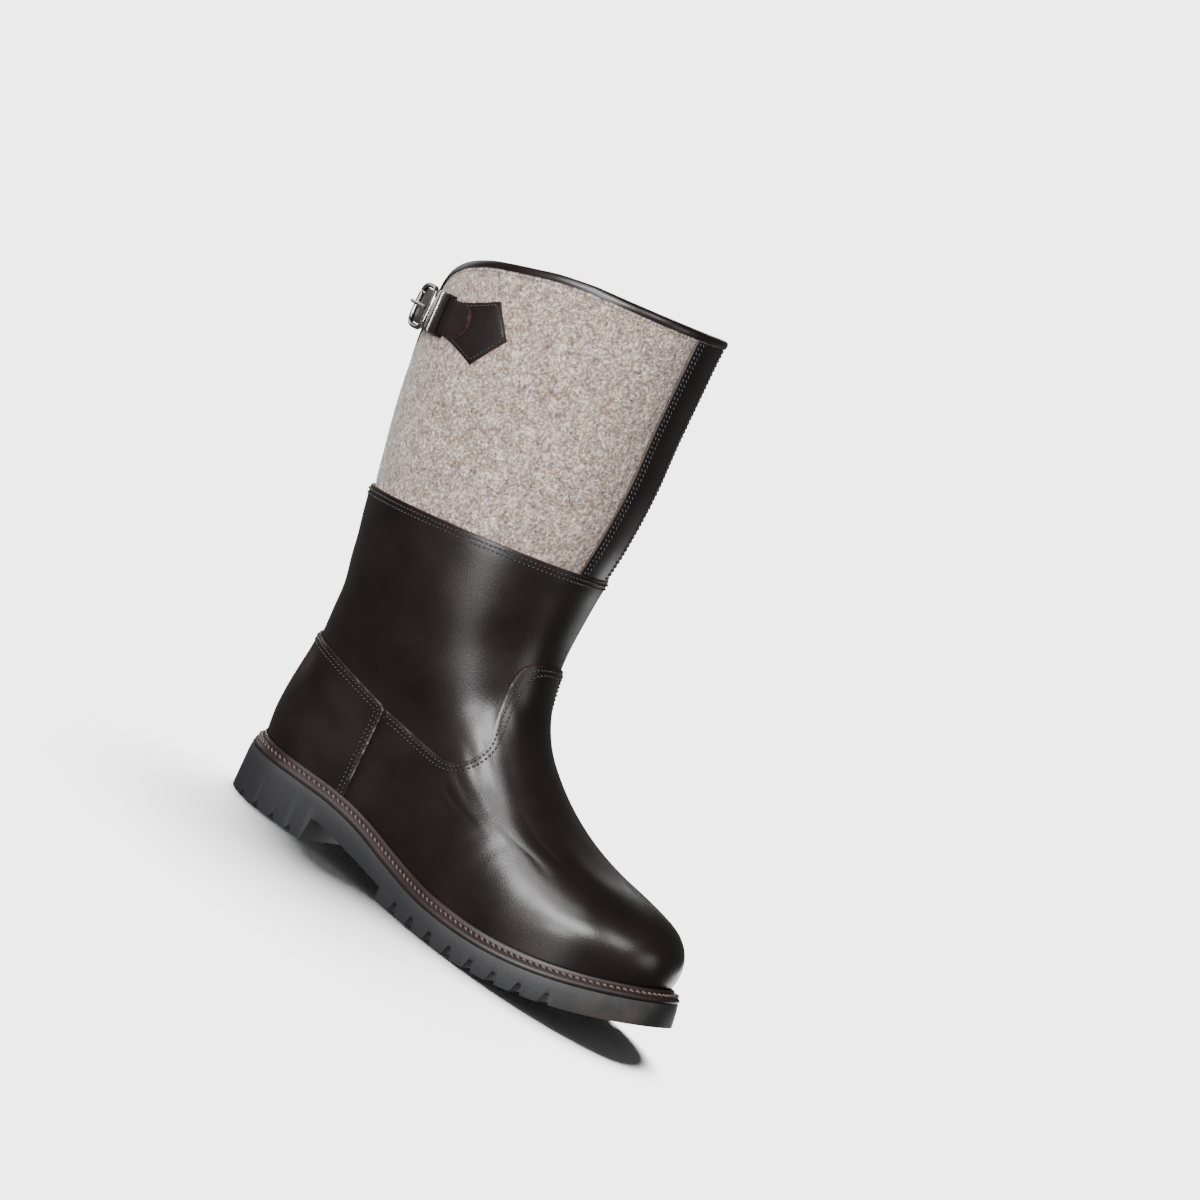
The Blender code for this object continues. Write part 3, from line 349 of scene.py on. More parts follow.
def runs_of(points: Array) -> Array:
    """Distance along a line at each of its points."""
    return np.concatenate([[0.0], np.cumsum(np.linalg.norm(np.diff(points, axis=0), axis=1))])


def floor_line(x: Array | float) -> Array:
    """Height of the tread's lowest faces at a distance from the back of the heel."""
    start = SPRING_START * LENGTH
    return TOE_SPRING * np.clip((np.asarray(x, float) - start) / (LENGTH - start), 0.0, 1.1) ** 2


def sole_top(x: Array | float) -> Array:
    """Height of the outsole's upper face."""
    drop = (FOREPART - HEEL_HEIGHT) * smooth_read(SOLE_LINE, 1, np.asarray(x) / LENGTH)
    return HEEL_HEIGHT + drop + floor_line(x)


def outline_shape(x: Array | float) -> tuple[Array, Array]:
    """Swing and half width of the outsole before its ends are rounded."""
    share = np.asarray(x, float) / LENGTH
    half = BALL_WIDTH * smooth_read(OUTLINE, 2, share) + HEEL_WIDTH * smooth_read(OUTLINE, 3, share)
    return BALL_WIDTH * smooth_read(OUTLINE, 1, share), half


def end_round(distance: Array | float, reach: float, power: float) -> Array:
    """Share of the width left at a distance from a rounded end."""
    near = np.clip(1.0 - np.asarray(distance, float) / reach, 0.0, 1.0)
    return (1.0 - near ** power) ** (1.0 / power)


def bumper(share: float) -> float:
    """How far the toe's foot stands out past its top edge."""
    return TOE_BUMPER * float(np.clip((share - 0.70) / 0.30, 0.0, 1.0)) ** 1.5


def outline_point(turn: float, inset: float) -> tuple[float, float]:
    """Point of the outsole's edge, moved inwards by an inset."""
    x = inset + (LENGTH - 2.0 * inset) * 0.5 * (1.0 + math.cos(turn))
    swing, half = outline_shape(x)
    rounding = end_round(x - inset, 0.128 * LENGTH, 2.1) * end_round(LENGTH - inset - x, 0.290 * LENGTH, 2.3)
    side = 0.0 if abs(math.sin(turn)) < 1e-9 else math.copysign(1.0, math.sin(turn))
    return float(x), float(swing + side * (half - inset) * rounding)


def rise_at(reach: float, rise: float) -> float:
    """Height of a share of the boot's height above the sole."""
    base = float(sole_top(min(max(reach, 0.0), 1.0) * LENGTH))
    return base + rise * (BOOT_HEIGHT - base)


def column_angle(column: Array | float) -> Array:
    """Angle round the boot of a column of the grid, 0 at the toe."""
    even = 2.0 * math.pi * np.asarray(column, float) / COLUMNS
    return even + CROWDING * np.sin(even)


def column_at(degrees: float) -> float:
    """Column of the grid at an angle round the boot."""
    columns = np.arange(COLUMNS + 1)
    return float(np.interp(degrees % 360.0, np.degrees(column_angle(columns)), columns))


@dataclass(frozen=True)
class Crease:
    """A fold of the leather: a band across the boot that sinks or swells.

    Its line is seen from the side, from (x0, z0) to (x1, z1) in metres from the heel's back.
    """

    x0: float
    z0: float
    x1: float
    z1: float
    depth: float
    width: float
    side: float = 0.0

    def at(self, points: Array) -> Array:
        """Offset of the surface at points."""
        along = np.array([self.x1 - self.x0, self.z1 - self.z0])
        size = float(np.linalg.norm(along))
        along /= size
        rel = points[..., [0, 2]] - np.array([self.x0, self.z0])
        run = rel @ along
        wave = 0.12 * size * np.sin(run / size * 5.0 + self.x0 * 310.0)
        off = rel @ np.array([-along[1], along[0]]) + wave * 0.25
        past = np.maximum(0.0, np.maximum(-run, run - size))
        fold = np.exp(-(off / self.width) ** 2)
        shape = fold - 0.45 * np.exp(-((off - 1.7 * self.width) / self.width) ** 2)
        fade = np.exp(-(past / (0.35 * size)) ** 2)
        if self.side:
            fade = fade / (1.0 + np.exp(-self.side * points[..., 1] / 0.006))
        return -self.depth * shape * fade


CREASES = (
    Crease(0.120, 0.114, 0.110, 0.072, 0.00030, 0.0100),
    Crease(0.158, 0.070, 0.146, 0.052, 0.00014, 0.0050, -1.0),
    Crease(0.168, 0.067, 0.160, 0.050, 0.00009, 0.0026, -1.0),
    Crease(0.146, 0.064, 0.139, 0.051, 0.00009, 0.0026, -1.0),
    Crease(0.179, 0.064, 0.174, 0.049, 0.00010, 0.0024, -1.0),
    Crease(0.164, 0.070, 0.154, 0.050, 0.00022, 0.0044, 1.0),
    Crease(0.180, 0.066, 0.176, 0.046, 0.00014, 0.0030, 1.0),
    Crease(0.112, 0.150, 0.060, 0.126, 0.00060, 0.0120),
    Crease(0.008, 0.128, 0.060, 0.134, 0.00050, 0.0110),
    Crease(0.002, 0.152, 0.048, 0.160, 0.00030, 0.0090),
)


class Last:
    """The boot's form: the inside of the leather and the outside of the felt, on a fine grid."""

    def __init__(self) -> None:
        self.turns = column_angle(np.arange(COLUMNS))
        coarse = np.array([self._loop(k) for k in range(len(LOOPS))])
        self.rows = STEPS * (len(LOOPS) - 1) + 1
        self.points = np.zeros((self.rows, COLUMNS, 3))
        for c in range(COLUMNS):
            column = coarse[:, c]
            knots = runs_of(column)
            places = np.interp(np.arange(self.rows) / STEPS, np.arange(len(LOOPS)), knots)
            self.points[:, c] = spline(knots, column, places)
        self._soften_ridge()
        along = np.roll(self.points, -1, axis=1) - np.roll(self.points, 1, axis=1)
        normals = np.cross(along, np.gradient(self.points, axis=0))
        normals[0, :, 2] = 0.0
        self.normals = unit(normals)
        steps = np.linalg.norm(np.diff(self.points, axis=0), axis=2)
        self.climb = np.concatenate([np.zeros((1, COLUMNS)), np.cumsum(steps, axis=0)])

    def _soften_ridge(self) -> None:
        """Rounds the top line of the foot, where both sides meet."""
        aside = np.minimum(np.arange(COLUMNS), COLUMNS - np.arange(COLUMNS))
        near = np.exp(-(aside / RIDGE_COLUMNS) ** 2)
        level = np.arange(self.rows) / STEPS
        share = np.clip((level - RIDGE_LEVEL) / 2.0, 0.0, 1.0)[:, None, None] * near[None, :, None]
        for _ in range(RIDGE_PASSES):
            mean = 0.5 * (np.roll(self.points, 1, axis=1) + np.roll(self.points, -1, axis=1))
            self.points += 0.5 * share * (mean - self.points)

    def _loop(self, level: int) -> Array:
        """Points of one loop of the form."""
        front_reach, front_rise, back_reach, back_rise, half_width, tube, follow, nose = LOOPS[level]
        share = 0.5 * (1.0 + np.cos(self.turns))
        front, back = front_reach * LENGTH, back_reach * LENGTH
        front_z, back_z = rise_at(1.0, front_rise), rise_at(0.0, back_rise)
        x = back + share * (front - back)
        low_front, low_back = LOOPS[0][0] * LENGTH, LOOPS[0][2] * LENGTH
        low_x = low_back + share * (low_front - low_back)
        chord = sole_top(low_back) + share * (sole_top(low_front) - sole_top(low_back))
        z = back_z + share * (front_z - back_z) + follow * (sole_top(low_x) - chord)
        swing, half = outline_shape(x)
        base, crest = sole_top(x), self._crest(x)
        widest = base + np.minimum(0.020, 0.34 * (crest - base))
        high = np.clip((z - widest) / (crest - widest), 0.0, 1.0)
        low = np.clip((widest - z) / (widest - base), 0.0, 1.0)
        arch = (1.0 - high ** 2.2) ** (1.0 / 2.2) * (1.0 - 0.045 * low ** 2)
        rounding = end_round(x - back, 0.128 * LENGTH, 2.1) * end_round(front - x, nose * LENGTH, 2.3)
        growth = np.clip((x / LENGTH - 0.25) / 0.25, 0.0, 1.0)
        welt = HEEL_WELT_WIDTH + (WELT_WIDTH - HEEL_WELT_WIDTH) * growth
        foot = (half - welt - (LEATHER + OVERLAY + 2.0 * GAP)) * arch * rounding
        across = np.abs(2.0 * share - 1.0)
        oval = half_width * SHAFT_WIDTH * (1.0 - across ** WALL_POWER) ** (1.0 / WALL_POWER)
        side = np.sign(np.round(np.sin(self.turns), 9))
        y = swing * (1.0 - tube) + side * (foot * (1.0 - tube) + oval * tube)
        return np.stack([x, y, z], axis=-1)

    @staticmethod
    def _crest(x: Array) -> Array:
        """Height of the top line of the foot, continued upwards under the shaft."""
        rows = range(11, 3, -1)
        reach = np.array([LOOPS[r][0] * LENGTH for r in rows])
        height = np.array([rise_at(1.0, LOOPS[r][1]) for r in rows])
        slope = (height[0] - height[3]) / (reach[3] - reach[0])
        return np.where(x < reach[0], height[0] + slope * (reach[0] - x), np.interp(x, reach, height))

    def read(self, grid: Array, column: Array, row: Array) -> Array:
        """Reads a grid between its columns and rows."""
        column, row = np.asarray(column, float) % COLUMNS, np.clip(row, 0.0, self.rows - 1.0)
        c, r = np.floor(column).astype(int), np.minimum(np.floor(row).astype(int), self.rows - 2)
        u, v = column - c, row - r
        c, after = c % COLUMNS, (c + 1) % COLUMNS
        if grid.ndim == 3:
            u, v = u[..., None], v[..., None]
        return ((grid[r, c] * (1 - u) + grid[r, after] * u) * (1 - v)
                + (grid[r + 1, c] * (1 - u) + grid[r + 1, after] * u) * v)

    def skin(self, column: Array, row: Array, offset: Array | float,
             creases: Sequence[Crease] = ()) -> Array:
        """Points at an offset from the form, with its creases."""
        column, row = np.asarray(column, float), np.asarray(row, float)
        points = self.read(self.points, column, row)
        normals = self.read(self.normals, column, row)
        relief = sum((crease.at(points) for crease in creases), np.zeros(points.shape[:-1]))
        relief = relief * np.clip(row / STEPS - 1.0, 0.0, 1.0)
        points = points + (np.asarray(offset) + relief)[..., None] * normals
        low = row <= 0.0
        points[..., 2] = np.where(low, sole_top(points[..., 0]) + GAP, points[..., 2])
        return points

    def spot(self, column: float, row: float, offset: float) -> Array:
        """One point at an offset from the form."""
        return self.skin([column], [row], offset)[0]

    def normal(self, column: Array, row: Array) -> Array:
        """Outward directions at places of the grid."""
        return unit(self.read(self.normals, np.asarray(column, float), np.asarray(row, float)))

    def row_at(self, column: float, height: float) -> float:
        """Row of a column that has a height."""
        heights = self.read(self.points, np.full(self.rows, column), np.arange(self.rows))[:, 2]
        return float(np.interp(height, heights, np.arange(self.rows)))

    def row_from(self, column: float, row: float, climb: float) -> float:
        """Row that lies a distance above another one, measured on the surface."""
        climbs = self.read(self.climb, np.full(self.rows, column), np.arange(self.rows))
        rows = np.arange(self.rows)
        return float(np.interp(np.interp(row, rows, climbs) + climb, climbs, rows))

    def collar_height(self, column: float) -> float:
        """Height of the collar's edge, with the notch at the back."""
        point = self.read(self.points, np.array([column]), np.array([self.rows - 1.0]))[0]
        top = self.points[-1]
        share = (point[0] - top[COLUMNS // 2, 0]) / (top[0, 0] - top[COLUMNS // 2, 0])
        if share > SHOULDER[0, 0]:
            drop = smooth_read(SHOULDER, 2 if point[1] > 0.0 else 1, share)
        else:
            drop = smooth_read(NOTCH, 1, abs(point[1]) / np.abs(top[:, 1]).max())
        return float(point[2] - NOTCH_DEPTH * drop)


@dataclass
class Outline:
    """Closed outline in the side view that cuts an overlay out of the form."""

    corners: Array

    @classmethod
    def from_tables(cls, foot: Sequence[tuple[float, float]], edge: Array, far: float) -> Outline:
        """Outline with a straight front seam, a smooth top edge and a far end.

        Args:
            foot: reach and rise of the seam's lower points, from top to bottom.
            edge: reach and rise of the top edge, from the seam on.
            far: reach of the end on the other side.
        """
        height = np.array([rise_at(0.5, rise) for rise in edge[:, 1]])
        points = np.stack([edge[:, 0] * LENGTH, height], axis=-1)
        knots = runs_of(points)
        top = spline(knots, points, np.linspace(0.0, knots[-1], 160))
        low = np.array([(reach * LENGTH, rise_at(0.5, rise)) for reach, rise in foot])
        return cls(np.concatenate([low[::-1], top, [[far * LENGTH, -0.05]]]))

    def field(self, points: Array) -> Array:
        """Distance inside the outline, negative outside it, for points in rows."""
        flat = points.reshape(-1, 3)[:, [0, 2]]
        best, inside = np.full(len(flat), 1e9), np.zeros(len(flat), bool)
        for a, b in zip(self.corners, np.roll(self.corners, -1, axis=0)):
            edge = b - a
            share = np.clip((flat - a) @ edge / max(edge @ edge, 1e-12), 0.0, 1.0)
            best = np.minimum(best, np.linalg.norm(flat - a - share[:, None] * edge, axis=1))
            crosses = (a[1] > flat[:, 1]) != (b[1] > flat[:, 1])
            if crosses.any():
                inside ^= crosses & (flat[:, 0] < a[0] + (flat[:, 1] - a[1]) * edge[0] / (edge[1] or 1e-12))
        return np.where(inside, best, -best).reshape(points.shape[:-1])


class Patch:
    """Part of the last's grid where a field is positive, cut exactly along its edge."""

    def __init__(self, field: Array, snap: float = 0.22) -> None:
        """Cuts the grid; snap is how far a grid point may move to the cut, as a share of a cell."""
        rows, columns = field.shape
        place = np.stack(np.meshgrid(np.arange(columns, dtype=float), np.arange(rows, dtype=float)), -1)
        value, best = field.copy(), np.full(field.shape, snap)
        for step in ((0, 1), (0, -1), (1, 0), (-1, 0)):
            other = np.roll(field, (-step[0], -step[1]), axis=(0, 1))
            share = np.where(field * other < 0.0, field / np.where(field == other, 1.0, field - other), 9.0)
            if step[0]:
                share[-1 if step[0] > 0 else 0] = 9.0
            near = share < best
            best[near] = share[near]
            place[near] = (np.stack(np.meshgrid(np.arange(columns), np.arange(rows)), -1)[near]
                           + share[near][:, None] * np.array([step[1], step[0]]))
            value[near] = 0.0
        self.places: list[tuple[float, float]] = []
        self.faces: Faces = []
        self.cut: set[int] = set()
        known: dict[tuple, int] = {}

        def vertex(key: tuple, spot: Iterable[float], on_cut: bool) -> int:
            if key not in known:
                known[key] = len(self.places)
                self.places.append(tuple(float(s) for s in spot))
                if on_cut:
                    self.cut.add(known[key])
            return known[key]

        for r in range(rows - 1):
            for c in range(columns):
                ring = ((r, c), (r, c + 1), (r + 1, c + 1), (r + 1, c))
                values = [value[a, b % columns] for a, b in ring]
                if max(values) <= 0.0:
                    continue
                face: list[int] = []
                for k in range(4):
                    (a, b), (e, f) = ring[k], ring[(k + 1) % 4]
                    here, there = values[k], values[(k + 1) % 4]
                    spot = place[a, b % columns] + np.array([columns if b >= columns else 0, 0])
                    far = place[e, f % columns] + np.array([columns if f >= columns else 0, 0])
                    if here >= 0.0:
                        face.append(vertex((a, b % columns), spot, here == 0.0))
                    if here * there < 0.0:
                        ends = tuple(sorted(((a, b % columns), (e, f % columns))))
                        face.append(vertex(ends, spot + here / (here - there) * (far - spot), True))
                if len(face) > 2:
                    self.faces.append(tuple(face))
        self.uv = np.array(self.places)

    def border(self) -> list[tuple[int, int]]:
        """Directed edges that only one face uses."""
        edges: dict[tuple[int, int], int] = {}
        for face in self.faces:
            for a, b in zip(face, face[1:] + face[:1]):
                edges[(a, b)] = 1
        return [edge for edge in edges if (edge[1], edge[0]) not in edges]

    def cut_lines(self) -> list[Array]:
        """Lines of grid places that run along the cut."""
        after: dict[int, int] = {}
        for a, b in self.border():
            if a in self.cut and b in self.cut:
                after[a] = b
        starts = [a for a in after if a not in set(after.values())] or list(after)[:1]
        lines = []
        for start in starts:
            line, here = [start], start
            while here in after and len(line) <= len(after) + 1:
                here = after[here]
                line.append(here)
                if here == start:
                    break
            lines.append(self.uv[line])
        return lines


def deselect() -> None:
    """Leaves nothing selected."""
    for thing in bpy.context.selected_objects:
        thing.select_set(False)


def add_object(name: str, data: bpy.types.ID) -> Thing:
    """Adds an object to the scene."""
    thing = bpy.data.objects.new(name, data)
    bpy.context.scene.collection.objects.link(thing)
    return thing


def new_mesh(name: str, points: Array, faces: Sequence[Sequence[int]], materials: Sequence[Material],
             sharp: float = 40.0, marks: Sequence[int] | None = None) -> Thing:
    """Makes a smooth mesh object.

    Args:
        name: name of the object.
        points: vertices, or rings of them, in metres from the back of the heel.
        faces: rings of vertex numbers.
        materials: materials, the first one for unmarked faces.
        sharp: angle in degrees from which an edge stays sharp.
        marks: material number of each face.

    Returns:
        The object, linked to the scene.
    """
    mesh = bpy.data.meshes.new(name)
    moved = np.array(points, float).reshape(-1, 3) - np.array([HEEL_CENTRE, 0.0, 0.0])
    mesh.from_pydata(moved.tolist(), [], [tuple(int(k) for k in face) for face in faces])
    for material in materials:
        mesh.materials.append(material)
    if marks is not None:
        mesh.polygons.foreach_set("material_index", np.asarray(marks, np.int32))
    shell = bmesh.new()
    shell.from_mesh(mesh)
    bmesh.ops.recalc_face_normals(shell, faces=shell.faces[:])
    shell.to_mesh(mesh)
    shell.free()
    mesh.shade_smooth()
    mesh.set_sharp_from_angle(angle=math.radians(sharp))
    return add_object(name, mesh)


def ring_faces(rings: int, count: int, closed_rings: bool = False) -> Faces:
    """Faces between neighbouring closed rings of points, and back to the first ring if asked for."""
    faces = []
    for r in range(rings if closed_rings else rings - 1):
        here, after = r * count, ((r + 1) % rings) * count
        for k in range(count):
            faces.append((here + k, here + (k + 1) % count, after + (k + 1) % count, after + k))
    return faces


def flat_caps(starts: Iterable[int], count: int) -> Faces:
    """Faces that close rings made of two equal rows, from the number of each ring's first point."""
    return [(s + k, s + k + 1, s + count - 2 - k, s + count - 1 - k)
            for s in starts for k in range(count // 2 - 1)]


def round_caps(starts: Iterable[int], count: int) -> Faces:
    """Faces that close rings whose first and middle points are their ends."""
    faces, half = [], count // 2
    for s in starts:
        faces.append((s, s + 1, s + count - 1))
        faces += [(s + k, s + k + 1, s + count - k - 1, s + count - k) for k in range(1, half - 1)]
        faces.append((s + half - 1, s + half, s + half + 1))
    return faces


def resample(points: Array, pitch: float) -> Array:
    """Points at an even pitch along a line, with whatever else their rows hold."""
    runs = runs_of(points[:, :3])
    count = max(2, int(round(runs[-1] / pitch)))
    places = np.linspace(0.0, runs[-1], count + 1)
    return np.stack([np.interp(places, runs, points[:, k]) for k in range(points.shape[1])], axis=-1)


class Nodes:
    """Adds, feeds and links the nodes of one tree."""

    def __init__(self, tree: bpy.types.NodeTree) -> None:
        self.tree = tree

    def feed(self, node: Node, inputs: dict[str | int, object]) -> None:
        """Links or sets inputs of a node."""
        for key, value in inputs.items():
            if isinstance(value, Socket):
                self.tree.links.new(value, node.inputs[key])
            elif isinstance(value, tuple) and node.inputs[key].type == "RGBA":
                node.inputs[key].default_value = (*value, 1.0)
            else:
                node.inputs[key].default_value = value

    def add(self, kind: str, inputs: dict[str | int, object] | None = None, **settings: object) -> Node:
        """Adds a node with its settings and inputs."""
        node = self.tree.nodes.new("ShaderNode" + kind)
        for name, value in settings.items():
            setattr(node, name, value)
        self.feed(node, inputs or {})
        return node

    def noise(self, where: Socket, scale: float, detail: float,
              roughness: float = 0.5) -> Socket:
        """Value of a noise texture."""
        return self.add("TexNoise", {"Vector": where, "Scale": scale, "Detail": detail,
                                     "Roughness": roughness}).outputs["Fac"]

    def math(self, operation: str, *values: Socket | float) -> Socket:
        """Result of a calculation."""
        return self.add("Math", dict(enumerate(values)), operation=operation).outputs[0]

    def span(self, value: Socket, low: float, high: float, start: float = 0.0,
             end: float = 1.0) -> Socket:
        """Maps a value from start..end to low..high."""
        return self.add("MapRange", {0: value, 1: start, 2: end, 3: low, 4: high}).outputs[0]

    def ramp(self, value: Socket, *stops: tuple[float, Colour | float]) -> Socket:
        """A colour ramp over a value."""
        node = self.add("ValToRGB", {0: value})
        ramp = node.color_ramp
        while len(ramp.elements) < len(stops):
            ramp.elements.new(0.5)
        for element, (place, colour) in zip(ramp.elements, stops):
            element.position = place
            element.color = (*(colour if isinstance(colour, tuple) else (colour,) * 3), 1.0)
        return node.outputs["Color"]

    def blend(self, factor: Socket | float, low: object, high: object,
              way: str = "MIX") -> Socket:
        """Mixes two colours."""
        return self.add("Mix", {0: factor, 6: low, 7: high}, data_type="RGBA", blend_type=way).outputs[2]

    def bump(self, shader: Node, height: Socket, strength: float, depth: float) -> None:
        """Gives a shader a relief."""
        bump = self.add("Bump", {"Height": height, "Strength": strength, "Distance": depth})
        self.feed(shader, {"Normal": bump.outputs[0]})


class Palette:
    """Makes each finish's material, once."""

    def __init__(self) -> None:
        self.pebbles = self._pebbles()

    @staticmethod
    def _pebbles() -> bpy.types.NodeTree:
        """Shared effect: the pebbled relief of leather or rubber as a height and a mask."""
        tree = bpy.data.node_groups.new("pebbled_relief", "ShaderNodeTree")
        for name, way, kind in (("Vector", "INPUT", "Vector"), ("Scale", "INPUT", "Float"),
                                ("Height", "OUTPUT", "Float"), ("Mask", "OUTPUT", "Float")):
            tree.interface.new_socket(name, in_out=way, socket_type="NodeSocket" + kind)
        nodes = Nodes(tree)
        inside, outside = tree.nodes.new("NodeGroupInput"), tree.nodes.new("NodeGroupOutput")
        where = inside.outputs["Vector"]
        sizes = {"Vector": where, "Scale": inside.outputs["Scale"]}
        cells = nodes.add("TexVoronoi", sizes, feature="SMOOTH_F1").outputs["Distance"]
        height = nodes.math("MULTIPLY_ADD", nodes.noise(where, FINE_GRAIN, 3.0), 0.35, cells)
        nodes.feed(outside, {"Height": height, "Mask": nodes.noise(where, WORN_PATCHES, 4.0)})
        return tree

    @staticmethod
    def _start(name: str) -> tuple[Material, Nodes, Node, Socket]:
        """A material, its nodes, its shader and object coordinates."""
        material = bpy.data.materials.new(name)
        material.use_nodes = True
        nodes = Nodes(material.node_tree)
        where = nodes.add("TexCoord").outputs["Object"]
        return material, nodes, material.node_tree.nodes["Principled BSDF"], where

    def _relief(self, nodes: Nodes, where: Socket, scale: float) -> bpy.types.bpy_prop_collection:
        """Adds the shared relief and gives its outputs."""
        group = nodes.tree.nodes.new("ShaderNodeGroup")
        group.node_tree = self.pebbles
        nodes.feed(group, {"Vector": where, "Scale": scale})
        return group.outputs

    @cache
    def leather(self, finish: LeatherFinish) -> Material:
        """Smooth leather with fine grain, uneven polish and slightly lighter worn areas."""
        material, nodes, shader, where = self._start(finish.name)
        relief = self._relief(nodes, where, LEATHER_PORES)
        worn = nodes.ramp(relief["Mask"], (0.35, 0.0), (0.75, 1.0))
        nodes.feed(shader, {
            "Base Color": nodes.blend(worn, finish.colour, finish.worn),
            "Roughness": nodes.span(relief["Mask"], finish.roughness - 0.05, finish.roughness + 0.07),
            "Specular IOR Level": finish.shine})
        nodes.bump(shader, relief["Height"], finish.grain, 0.00012)
        return material

    @cache
    def wool(self, finish: WoolFinish) -> Material:
        """Melange wool: light and dark fibres in clusters, with a soft sheen."""
        material, nodes, shader, where = self._start(finish.name)
        warp = nodes.add("TexNoise", {"Vector": where, "Scale": WOOL_WARP, "Detail": 2.0})
        shifted = nodes.add("VectorMath", {0: warp.outputs["Color"], 1: (0.004, 0.004, 0.004), 2: where},
                            operation="MULTIPLY_ADD").outputs[0]
        fine = nodes.noise(shifted, finish.scale, 6.0, 0.72)
        clusters = nodes.math("MULTIPLY_ADD", nodes.noise(where, WOOL_CLUSTERS, 4.0, 0.6), 0.30, fine)
        colour = nodes.ramp(clusters, (0.48, finish.dark), (0.65, finish.middle), (0.84, finish.light))
        tint = nodes.ramp(nodes.noise(shifted, WOOL_FLECKS, 3.0), (0.38, (0.90, 0.96, 1.07)),
                          (0.52, (1.0, 1.0, 1.0)), (0.68, (1.13, 0.98, 0.84)))
        nodes.feed(shader, {"Base Color": nodes.blend(1.0, colour, tint, "MULTIPLY"), "Roughness": 0.95,
                            "Specular IOR Level": 0.15, "Sheen Weight": 0.35, "Sheen Roughness": 0.45})
        nodes.bump(shader, fine, finish.relief, 0.0006)
        return material

    @cache
    def fibres(self, finish: WoolFinish) -> Material:
        """Loose fibres of a wool, toned by their own attribute."""
        material, nodes, shader, _ = self._start(finish.name + "_fibres")
        tone = nodes.add("Attribute", attribute_name="tone").outputs["Fac"]
        colour = nodes.ramp(tone, (0.0, finish.dark), (0.5, finish.middle), (1.0, finish.light))
        nodes.feed(shader, {"Base Color": colour, "Roughness": 0.9, "Specular IOR Level": 0.2})
        return material

    @cache
    def plain(self, finish: PlainFinish) -> Material:
        """Thread or metal with a fine relief, painted shade in the relief's low parts, and uneven shine."""
        material, nodes, shader, where = self._start(finish.name)
        relief = self._relief(nodes, where, finish.scale)
        # Painted shade: the relief's low parts get the colour dimmed to 0.55, its raised parts keep the full
        # colour.
        hollow_shade = tuple(0.55 * c for c in finish.colour)
        raised = nodes.ramp(relief["Height"], (0.15, 0.0), (0.55, 1.0))
        nodes.feed(shader, {
            "Base Color": nodes.blend(raised, hollow_shade, finish.colour),
            "Roughness": nodes.span(relief["Mask"], finish.roughness - 0.06, finish.roughness + 0.10),
            "Metallic": finish.metallic})
        if finish.relief:
            nodes.bump(shader, relief["Height"], finish.relief, 0.00025)
        return material

    @cache
    def rubber(self, finish: PlainFinish) -> Material:
        """Matt rubber with a brown scuff at the edge of the toe and dusty patches."""
        material, nodes, shader, where = self._start(finish.name)
        relief = self._relief(nodes, where, finish.scale)
        along = nodes.add("SeparateXYZ", {0: where}).outputs[0]
        toe = nodes.span(along, 0.0, 1.0, 0.205, 0.250)
        scuff = nodes.math("MULTIPLY", toe, nodes.ramp(relief["Mask"], (0.42, 0.0), (0.62, 1.0)))
        dusty = nodes.blend(relief["Mask"], finish.colour, tuple(1.5 * c for c in finish.colour))
        nodes.feed(shader, {"Base Color": nodes.blend(scuff, dusty, SCUFF), "Roughness": finish.roughness,
                            "Specular IOR Level": 0.42})
        nodes.bump(shader, relief["Height"], finish.relief, 0.0002)
        return material


